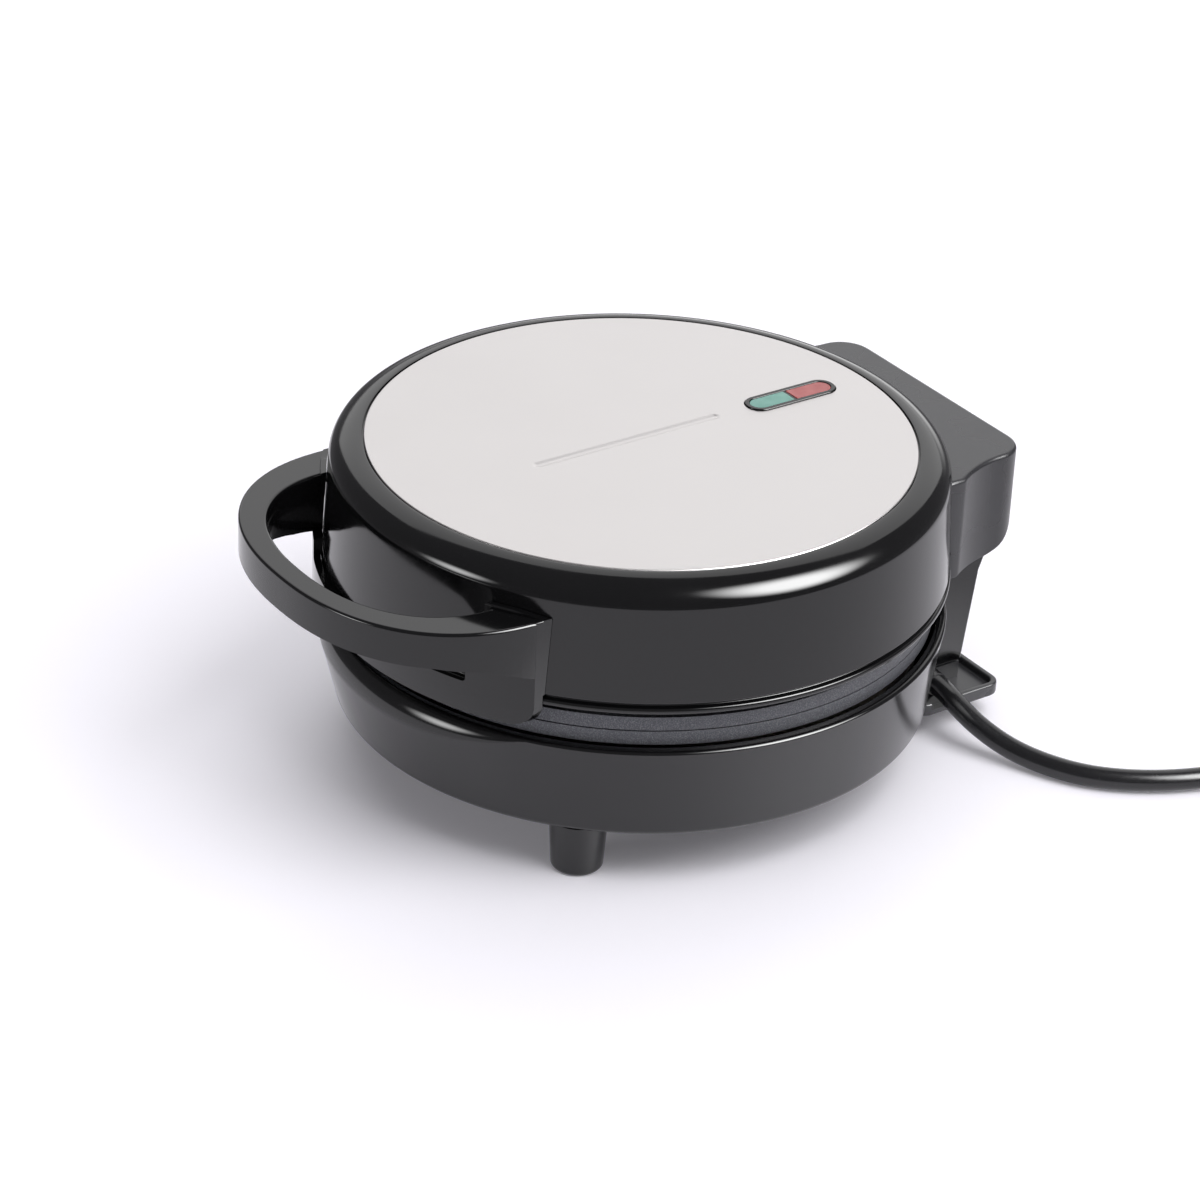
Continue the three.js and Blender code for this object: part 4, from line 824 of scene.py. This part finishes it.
post_back = [(105, POST_FOOT), (109.5, 49.5), (111.2, 54), (113.4, 57.6), (116, 60.5)]
ear = arc((HINGE_BACK, HINGE_HEIGHT), EAR_RADIUS, EAR_RADIUS, 0, 180, 16)
post_front = [(HINGE_BACK - EAR_RADIUS, EARS_FOOT), (70, EARS_FOOT)]
post_side = [(70, POST_FOOT)] + post_back + ear + post_front
post = thing("rear_post_moulding", sideways(post_side, -POST_HALF_WIDTH, POST_HALF_WIDTH))
cut(post, box(-EARS_INNER, EARS_INNER, 60, 130, EARS_FOOT, 100))
break_edges(post, 1.0)
beside_base = [(0, 18.2), (98.3, 18.2), (102.3, 50), (102.3, 62), (0, 62)]
cut(post, box(-90, 90, 60, 84, 10, 23), lathe(beside_base))
hand_over(post, "base", "gloss_black_plastic", gloss_abs, "rear_post")

# %% [markdown]
# ## Cord tray
# Under the post lies a shallow tray with a raised rim, and the cord is wound round its neck for
# storage. It is a plate with a smaller one cut out of it, a neck on top and a notch in the rim
# where the cord crosses.

# %% Cord tray
TRAY_HALF_WIDTH = 57
TRAY_FRONT, TRAY_BACK = 78, 113
TRAY_CORNER = 5
TRAY_FOOT, TRAY_TOP = 7.5, 12
TRAY_FLOOR = 9.5
TRAY_RIM = 2.2


def tray_plan(margin):
    """The tray's outline, drawn in by a margin."""
    half = TRAY_HALF_WIDTH - margin
    return rounded(-half, half, TRAY_FRONT + margin, TRAY_BACK - margin, TRAY_CORNER - margin)


tray = thing("cord_tray_moulding", upright(tray_plan(0), TRAY_FOOT, TRAY_TOP))
cut(tray, upright(tray_plan(TRAY_RIM), TRAY_FLOOR, 20))
break_edges(tray, 0.7)
neck = box(-43.5, 43.5, 84, 104.5, TRAY_FLOOR - 0.5, 15.7)
combine(tray, "UNION", neck)
cord_notch = box(50, 60, 83.0, 94.9, TRAY_FLOOR + 0.1, 20)
cut(tray, cord_notch)
hand_over(tray, "base", "satin_black_plastic", satin_pp, "cord_tray")

# %% [markdown]
# ## Baking plates
# Each plate is a round casting with a turned-down skirt and seven half-round cavities, six round
# one in the middle. The cavities are balls cut out of the plate and out of the cups behind it,
# and their rims get a small round, as the coat needs. Three screws sit in sunk holes near the edge.

# %% Baking plates
PLATE_RADIUS = 97.5
PLATE_THICKNESS = 3
SKIRT_HEIGHT = 4.6
SKIRT_WIDTH = 3.2
CAVITY_RADIUS = 19
CUP_RADIUS = 21.2
CUP_TOP = -1  # the cups start below the plate's face
RING_COUNT = 6
RING_RADIUS = 57
SCREW_COUNT = 3
SCREW_RING = 90
FIRST_SCREW = 30  # degrees from the handle
PARTING = {"lower": 56.0, "upper": 56.4}  # the heights of the two plates' faces

turns = [math.radians(360 / RING_COUNT * i) for i in range(RING_COUNT)]
CAVITIES = [(0, 0)] + [(RING_RADIUS * math.cos(turn), RING_RADIUS * math.sin(turn)) for turn in turns]
turns = [math.radians(FIRST_SCREW + 360 / SCREW_COUNT * i) for i in range(SCREW_COUNT)]
SCREWS = [(SCREW_RING * math.sin(turn), -SCREW_RING * math.cos(turn)) for turn in turns]


def ball(radius, x, y, top=None):
    """A ball about a place on the plate's face, cut off level at the top if one is given."""
    shape = bmesh.new()
    bmesh.ops.create_uvsphere(shape, u_segments=64, v_segments=32, radius=radius * MM)
    if top is not None:
        bmesh.ops.bisect_plane(
            shape,
            geom=shape.verts[:] + shape.edges[:] + shape.faces[:],
            plane_co=(0, 0, top * MM),
            plane_no=(0, 0, 1),
            clear_outer=True,
        )
        bmesh.ops.holes_fill(shape, edges=[edge for edge in shape.edges if edge.is_boundary])
    bmesh.ops.translate(shape, verts=shape.verts, vec=Vector((x, y, 0)) * MM)
    return shape


def baking_plate(name, way):
    """The lower plate about its own face at height 0, with its cups below it.

    The screws lie at angles from the handle, so way is -1 for a plate that will be turned over.
    """
    inside_skirt = PLATE_RADIUS - SKIRT_WIDTH
    below = [(0, -PLATE_THICKNESS), (inside_skirt, -PLATE_THICKNESS), (inside_skirt, -SKIRT_HEIGHT)]
    edge = [(PLATE_RADIUS, -SKIRT_HEIGHT), (PLATE_RADIUS, 0), (0, 0)]
    plate = thing(name, lathe(below + edge, steps=192))
    combine(plate, "UNION", *[ball(CUP_RADIUS, x, y, CUP_TOP) for x, y in CAVITIES])
    cut(plate, *[ball(CAVITY_RADIUS, x, y) for x, y in CAVITIES])
    break_edges(plate, 0.5, above=CUP_TOP)
    for x, y in SCREWS:
        shank_hole = [(0, -9), (1.9, -9), (1.9, -2.3)]
        head_hole = [(3.5, -2.3), (3.5, -0.4), (4.1, 0.2), (4.1, 2), (0, 2)]
        hole = lathe(shank_hole + head_hole, steps=32)
        bmesh.ops.translate(hole, verts=hole.verts, vec=Vector((x, way * y, 0)) * MM)
        cut(plate, hole)
    return plate


turned_over = Matrix.Rotation(math.pi, 4, "X")
lower_plate = baking_plate("lower_plate_casting", way=1)
lower_plate.data.transform(Matrix.Translation((0, 0, PARTING["lower"] * MM)))
hand_over(lower_plate, "base", "coated_aluminium", coated_cast, "lower_plate")
upper_plate = baking_plate("upper_plate_casting", way=-1)
upper_plate.data.transform(Matrix.Translation((0, 0, PARTING["upper"] * MM)) @ turned_over)
hand_over(upper_plate, "lid", "coated_aluminium", coated_cast, "upper_plate")

# %% [markdown]
# ## Screws
# The screws of both plates are seen when the lid is open. Each is a pan head with a cross recess,
# spun and then cut by two crossed slots.

# %% Plate screws
SLOT_LENGTH = 4.0
SLOT_WIDTH = 0.7
SLOT_FOOT = -1.3  # below the plate's face

shank = [(0, -9), (1.7, -8), (1.7, -2.1)]
pan_head = [(3.1, -2.1), (3.1, -1.2), (2.9, -0.7), (2.4, -0.35), (0, -0.3)]
for body, plate, stand in [("base", "lower", Matrix()), ("lid", "upper", turned_over)]:
    for i, (x, y) in enumerate(SCREWS):
        node = plate + "_plate_screw_" + str(i + 1)
        screw = thing(node + "_pan_head", lathe(shank + pan_head, steps=32))
        for angle in (0, 90):
            recess = box(-SLOT_LENGTH / 2, SLOT_LENGTH / 2, -SLOT_WIDTH / 2, SLOT_WIDTH / 2, SLOT_FOOT, 1)
            turn = Matrix.Rotation(math.radians(angle), 3, "Z")
            bmesh.ops.rotate(recess, verts=recess.verts, matrix=turn)
            cut(screw, recess)
        at = Vector((x, y, PARTING[plate])) * MM
        screw.data.transform(Matrix.Translation(at) @ stand)
        hand_over(screw, body, "bright_steel", metals["zinc_plated_steel"], node)

# %% [markdown]
# ## Pieces that keep their plain solid
# What is inside the housings is hardly seen, so those solids stay and get a real finish.

# %% Finishes of the inner pieces
plain_screws = [held + "_screw_" + number for held in ("post", "tray", "handle") for number in "12"]
for material, names in [
    (metals["zinc_plated_steel"], ["hinge_pin"] + plain_screws),
    (metals["sheet_steel_heat_tinted"], ["lower_heating_element", "upper_heating_element"]),
    (metals["sheet_steel_heat_tinted"], ["lower_heat_shield", "upper_heat_shield"]),
    (steatite, ["terminal_block", "thermostat", "thermal_fuse"]),
    (satin_pp, ["cord_clamp", "lamp_holder"]),
    (lamp_glass, ["lamp_front", "lamp_rear"]),
]:
    for name in names:
        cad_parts[name].data.materials.clear()
        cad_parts[name].data.materials.append(material)
print("inner pieces finished")

# %% [markdown]
# ## Mains cord
# The cord leaves the post on the right through a rubber gland, crosses the tray's rim, comes down
# to the table and runs off to the right. What the photograph doesn't show of it lies behind, in a
# flat coil that ends at the plug. The coil's second half climbs over the first one. The cord is
# one curve with a round section, drawn through the points of its route.

# %% Cord route
CORD_RADIUS = 3.6
ON_TABLE = 3.7  # the height of the cord's middle where it lies on the table
COIL_X, COIL_Y = 177, 188
COIL_RADIUS = 43
COIL_TURNS = 2.5
COIL_POINTS = 24  # in one turn
COIL_NARROWING = 8.2  # for each turn, up to the middle of the coil
COIL_LIFT = 7.9
LIFT_START = 1.0  # in turns
LIFT_LENGTH = 0.5
PLUG_LEAD = 30  # the straight length before the plug
PLUG_PLACE = (220, 157.7, 17.801)

route = [
    (49.8, 90.6, 13.6),
    (53.5, 90.3, 13.7),
    (57.6, 89.4, 13.7),
    (64.2, 88.8, 12.4),
    (73, 90.4, 9),
    (83.4, 94.6, 5.2),
    (94.6, 99.6, 3.8),
]
on_table = [(107.6, 106.6), (117, 116.8), (123.8, 127.8), (128.8, 139.5), (132.2, 152), (133.8, 166)]
route += [(x, y, ON_TABLE) for x, y in on_table + [(134, 174)]]
half_way = COIL_TURNS / 2
for i in range(int(COIL_TURNS * COIL_POINTS) + 1):
    turns = i / COIL_POINTS
    radius = COIL_RADIUS - COIL_NARROWING * (half_way - abs(turns - half_way))
    share = min(1, max(0, (turns - LIFT_START) / LIFT_LENGTH))
    height = ON_TABLE + COIL_LIFT * share * share * (3 - 2 * share)
    angle = math.pi - 2 * math.pi * turns
    route.append((COIL_X + radius * math.cos(angle), COIL_Y + radius * math.sin(angle), height))
x, y, height = route[-1]
for along, up in [(0.17, 0), (0.34, 0.12), (0.5, 0.5), (0.66, 0.88), (0.83, 1), (1, 1)]:
    route.append((x, y - PLUG_LEAD * along, height + (PLUG_PLACE[2] - height) * up))

curve = bpy.data.curves.new("mains_cord_sheath", "CURVE")
curve.dimensions = "3D"
curve.bevel_depth = CORD_RADIUS * MM
curve.bevel_resolution = 6
curve.use_fill_caps = True
spline = curve.splines.new("NURBS")
spline.points.add(len(route) - 1)
for point, at in zip(spline.points, route):
    point.co = (*place(*at), 1)
spline.order_u = 4
spline.use_endpoint_u = True
spline.resolution_u = 5
curve.materials.append(cord_pvc)
cord = bpy.data.objects.new("mains_cord_sheath", curve)
bpy.context.scene.collection.objects.link(cord)
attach(cord, "base")
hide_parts("mains_cord", "cord_coil")

# %% [markdown]
# ## Gland and plug
# The gland is a short rubber collar in the post's side. The plug is a moulded round one with a
# ribbed grip, four notches round its face, of which two are for earth contacts, and two round
# pins. The cord and the plug aren't mirrored, because the coil, which the photograph doesn't show,
# would appear in the gloss of the lid's wall.

# %% Gland and plug
GLAND_PLACE = (44, 90.6, 13.6)
PLUG_LENGTH = 53
PLUG_FACE_RADIUS = 17.8
RIB_COUNT = 5
PIN_PITCH = 19
PIN_RADIUS = 2.4
PIN_TIP = 72

collar = arc((4.0, 0.4), 0.5, 0.5, -20, 60, 4) + [(4.0, 5.4), (0, 5.4)]
gland = lathe([(0, -15), (4.5, -15), (4.5, 0)] + collar, steps=48)
bmesh.ops.rotate(gland, verts=gland.verts, matrix=Matrix.Rotation(math.pi / 2, 3, "Y"))
bmesh.ops.translate(gland, verts=gland.verts, vec=Vector(GLAND_PLACE) * MM)
gland = hand_over(thing("cord_gland_rubber", gland), "base", "cord_pvc", cord_pvc, "cord_gland")

neck = [(0, 0), (3.7, 0), (4.4, 5), (5.2, 12), (5.9, 16), (8.2, 19), (10.4, 22)]
grip = []
for i in range(RIB_COUNT):
    start = 22.6 + 2.1 * i
    wide = 10.8 + 0.4 * i
    grip += [(wide, start), (wide - 0.7, start + 0.2)]
    grip += [(wide - 0.6, start + 0.8), (wide + 0.2, start + 1)]
head = [(12.7, 33), (14.4, 36.4), (17.0, 38.4)] + arc((16.8, 40), 1.0, 1.4, -40, 0, 4)
face = [(PLUG_FACE_RADIUS, PLUG_LENGTH - 0.8), (PLUG_FACE_RADIUS - 0.6, PLUG_LENGTH), (0, PLUG_LENGTH)]
plug = thing("plug_body_moulding", lathe(neck + grip + head + face, steps=96))
for i, (wide, deep) in enumerate([(9.5, 3.2), (5.4, 1.8), (9.5, 3.2), (5.4, 1.8)]):
    notch = box(-wide / 2, wide / 2, PLUG_FACE_RADIUS - deep, 22, 42, 60)
    bmesh.ops.rotate(notch, verts=notch.verts, matrix=Matrix.Rotation(math.pi / 2 * i, 3, "Z"))
    cut(plug, notch)
break_edges(plug, 0.35, segments=2)
laid = Matrix.Translation(Vector(PLUG_PLACE) * MM) @ Matrix.Rotation(math.pi / 2, 4, "X")
plug.data.transform(laid)
hand_over(plug, "base", "cord_pvc", cord_pvc, "plug_body")

shank = [(0, 46), (PIN_RADIUS, 46), (PIN_RADIUS, PIN_TIP - 2.2)]
tip = arc((1.2, PIN_TIP - 2.2), 1.2, 2.2, 0, 90, 6) + [(0, PIN_TIP)]
pins = []
for side, name in [(-1, "plug_pin_left"), (1, "plug_pin_right")]:
    pin = thing(name + "_turned", lathe(shank + tip, steps=48))
    pin.data.transform(laid @ Matrix.Translation((side * PIN_PITCH / 2 * MM, 0, 0)))
    pins.append(hand_over(pin, "base", "pin_brass", metals["nickel_plated_brass"], name))
for piece in (cord, plug, *pins):
    piece.visible_glossy = False
print("plug at", tuple(round(v, 3) for v in place(*PLUG_PLACE)))

# %% [markdown]
# ## Floor and room
# The object stands on a pale table that takes its shadow, and a share of plain brightness keeps
# the table white to the camera. The share grows with the distance, because the lamps reach the far
# table less. In the gloss and through the lenses the table gets a little painted glow. From 0.2 m
# out, the gloss shows a painted reflection in place of the lit table and its shadows: a plain glow
# out to 0.42 m, and a dim one past it, as if the table ended there. The room is bright for the
# camera, and dim for the gloss.

# %% Floor and world
FLOOR_HALF = 4
# Painted reflection: the table seen in gloss glows plainly out to this radius, and dimly past it.
PAINTED_GLOW_HALF = 0.42  # of the mirrored table
PAINTED_GLOW_FADE = 0.03

floor_material, tree, here = new_material("pale_table")
ray = add_node(tree, "ShaderNodeLightPath").outputs
middle = add_node(tree, "ShaderNodeVectorMath", links={0: here}, operation="LENGTH").outputs["Value"]
# strength is the painted glow of the table in gloss, and past_object is where that painted glow takes over
# from the lit table.
camera_share, strength, past_object = [
    add_node(
        tree,
        "ShaderNodeMapRange",
        {"From Min": near, "From Max": far, "To Min": start, "To Max": end},
        {"Value": middle},
    ).outputs["Result"]
    for near, far, start, end in [
        (0.9, 2.0, 0.1, 0.8),
        (PAINTED_GLOW_HALF - PAINTED_GLOW_FADE, PAINTED_GLOW_HALF + PAINTED_GLOW_FADE, 1.05, 0.2),
        (0.15, 0.2, 0, 1),
    ]
]
# Painted glow: in_gloss and in_lenses add plain brightness to the table as seen in gloss and through the
# lenses.
plain, in_gloss, in_lenses, painted_reflection_share = [
    add_node(tree, "ShaderNodeMath", numbers, links, operation="MULTIPLY").outputs["Value"]
    for numbers, links in [
        ({}, {0: ray["Is Camera Ray"], 1: camera_share}),
        ({1: 0.16}, {0: ray["Is Glossy Ray"]}),
        ({1: 0.1}, {0: ray["Is Transmission Ray"]}),
        ({}, {0: past_object, 1: ray["Is Glossy Ray"]}),
    ]
]
for share in (in_gloss, in_lenses):
    larger = add_node(tree, "ShaderNodeMath", links={0: plain, 1: share}, operation="MAXIMUM")
    plain = larger.outputs["Value"]
table = add_node(
    tree,
    "ShaderNodeBsdfPrincipled",
    {"Base Color": colour("#f5f3fa"), "Roughness": 0.6, "Emission Color": colour("#f6f4fb")},
    {"Emission Strength": plain},
)
# Painted reflection: this glow stands in for the lit table in gloss, without its shadows.
painted_reflection_glow = add_node(tree, "ShaderNodeEmission", {"Color": colour("#f4f2f8")}, {"Strength": strength})
surface = add_node(
    tree,
    "ShaderNodeMixShader",
    links={0: painted_reflection_share, 1: table.outputs["BSDF"], 2: painted_reflection_glow.outputs["Emission"]},
)
add_node(tree, "ShaderNodeOutputMaterial", links={"Surface": surface.outputs["Shader"]})
sheet = bmesh.new()
bmesh.ops.create_grid(sheet, x_segments=2, y_segments=2, size=FLOOR_HALF)
floor = thing("floor", sheet)
floor.data.materials.append(floor_material)

world = bpy.data.worlds.new("studio")
bpy.context.scene.world = world
world.use_nodes = True
tree = world.node_tree
tree.nodes.clear()
ray = add_node(tree, "ShaderNodeLightPath").outputs
room, in_the_gloss, behind = [
    add_node(tree, "ShaderNodeBackground", {"Color": colour(code), "Strength": strength}).outputs[0]
    for code, strength in [("#f4f2f8", 0.12), ("#f4f2f8", 0.18), ("#f8f6fc", 1.0)]
]
for share, other in [(ray["Is Glossy Ray"], in_the_gloss), (ray["Is Camera Ray"], behind)]:
    room = add_node(tree, "ShaderNodeMixShader", links={0: share, 1: room, 2: other}).outputs["Shader"]
add_node(tree, "ShaderNodeOutputWorld", links={"Surface": room})
print("floor and world ready")

# %% [markdown]
# ## Lamps
# What the black gloss shows is mostly the lamps, so each soft box stands where the photograph's
# highlights point to. The disc mirrors a pale wall behind the object, and the housings a low box
# at its foot. A key box on the right draws the streak on the lid's shoulder, and a small one on
# the left edges the handle. The key is two lamps on one bearing: a far one lights the object, and
# a near one is only mirrored. A wide box overhead lights the table round the object, so that the
# shadow is darkest close below it.

# %% Lamps
LAMP_AIM = Vector((0, 0, 0.08))


def soft_box(name, turn, rise, away, wide, high, bright, core=0, lights=True, mirrored=True):
    """A rectangular lamp towards a bearing and a height in degrees, as bright as white times bright.

    With a core, it is only as bright as that within this share of its size, and fades to its edge.
    """
    turn, rise = math.radians(turn), math.radians(rise)
    flat = away * math.cos(rise)
    towards = Vector((flat * math.cos(turn), flat * math.sin(turn), away * math.sin(rise)))
    lamp = bpy.data.lights.new(name, "AREA")
    lamp.shape = "RECTANGLE"
    lamp.size, lamp.size_y = wide, high
    lamp.energy = bright * math.pi * wide * high
    if core:
        lamp.use_nodes = True
        tree = lamp.node_tree
        tree.nodes.clear()
        across = add_node(tree, "ShaderNodeNewGeometry").outputs["Parametric"]
        distance = add_node(
            tree, "ShaderNodeVectorMath", {1: (0.5, 0.5, 0)}, {0: across}, operation="DISTANCE"
        ).outputs["Value"]
        fade = add_node(
            tree,
            "ShaderNodeMapRange",
            {"From Min": core, "From Max": 0.5, "To Min": 1, "To Max": 0},
            {"Value": distance},
            interpolation_type="SMOOTHSTEP",
        )
        glow = add_node(tree, "ShaderNodeEmission", links={"Strength": fade.outputs["Result"]})
        add_node(tree, "ShaderNodeOutputLight", links={"Surface": glow.outputs["Emission"]})
    stand = bpy.data.objects.new(name, lamp)
    bpy.context.scene.collection.objects.link(stand)
    stand.location = LAMP_AIM + towards
    stand.rotation_mode = "QUATERNION"
    stand.rotation_quaternion = (-towards).to_track_quat("-Z", "Y")
    stand.visible_camera = False
    stand.visible_diffuse = lights
    stand.visible_glossy = mirrored


soft_box("key_soft_box", 28, 52, 3.0, 2.2, 2.2, 3.9, mirrored=False)
soft_box("overhead_soft_box", 0, 90, 2.5, 3.0, 3.0, 1.3, mirrored=False)
soft_box("key_soft_box_mirrored", 28, 38, 1.5, 1.7, 1.9, 20.0, core=0.12, lights=False)
soft_box("pale_wall", 144, 36, 2.6, 3.6, 2.4, 0.97)
soft_box("low_back_box", 135, 4, 2.4, 2.6, 0.9, 2.0, core=0.05)
soft_box("small_left_box", -98, 8, 1.6, 1.0, 0.8, 9.0, core=0.05)
print("six lamps")
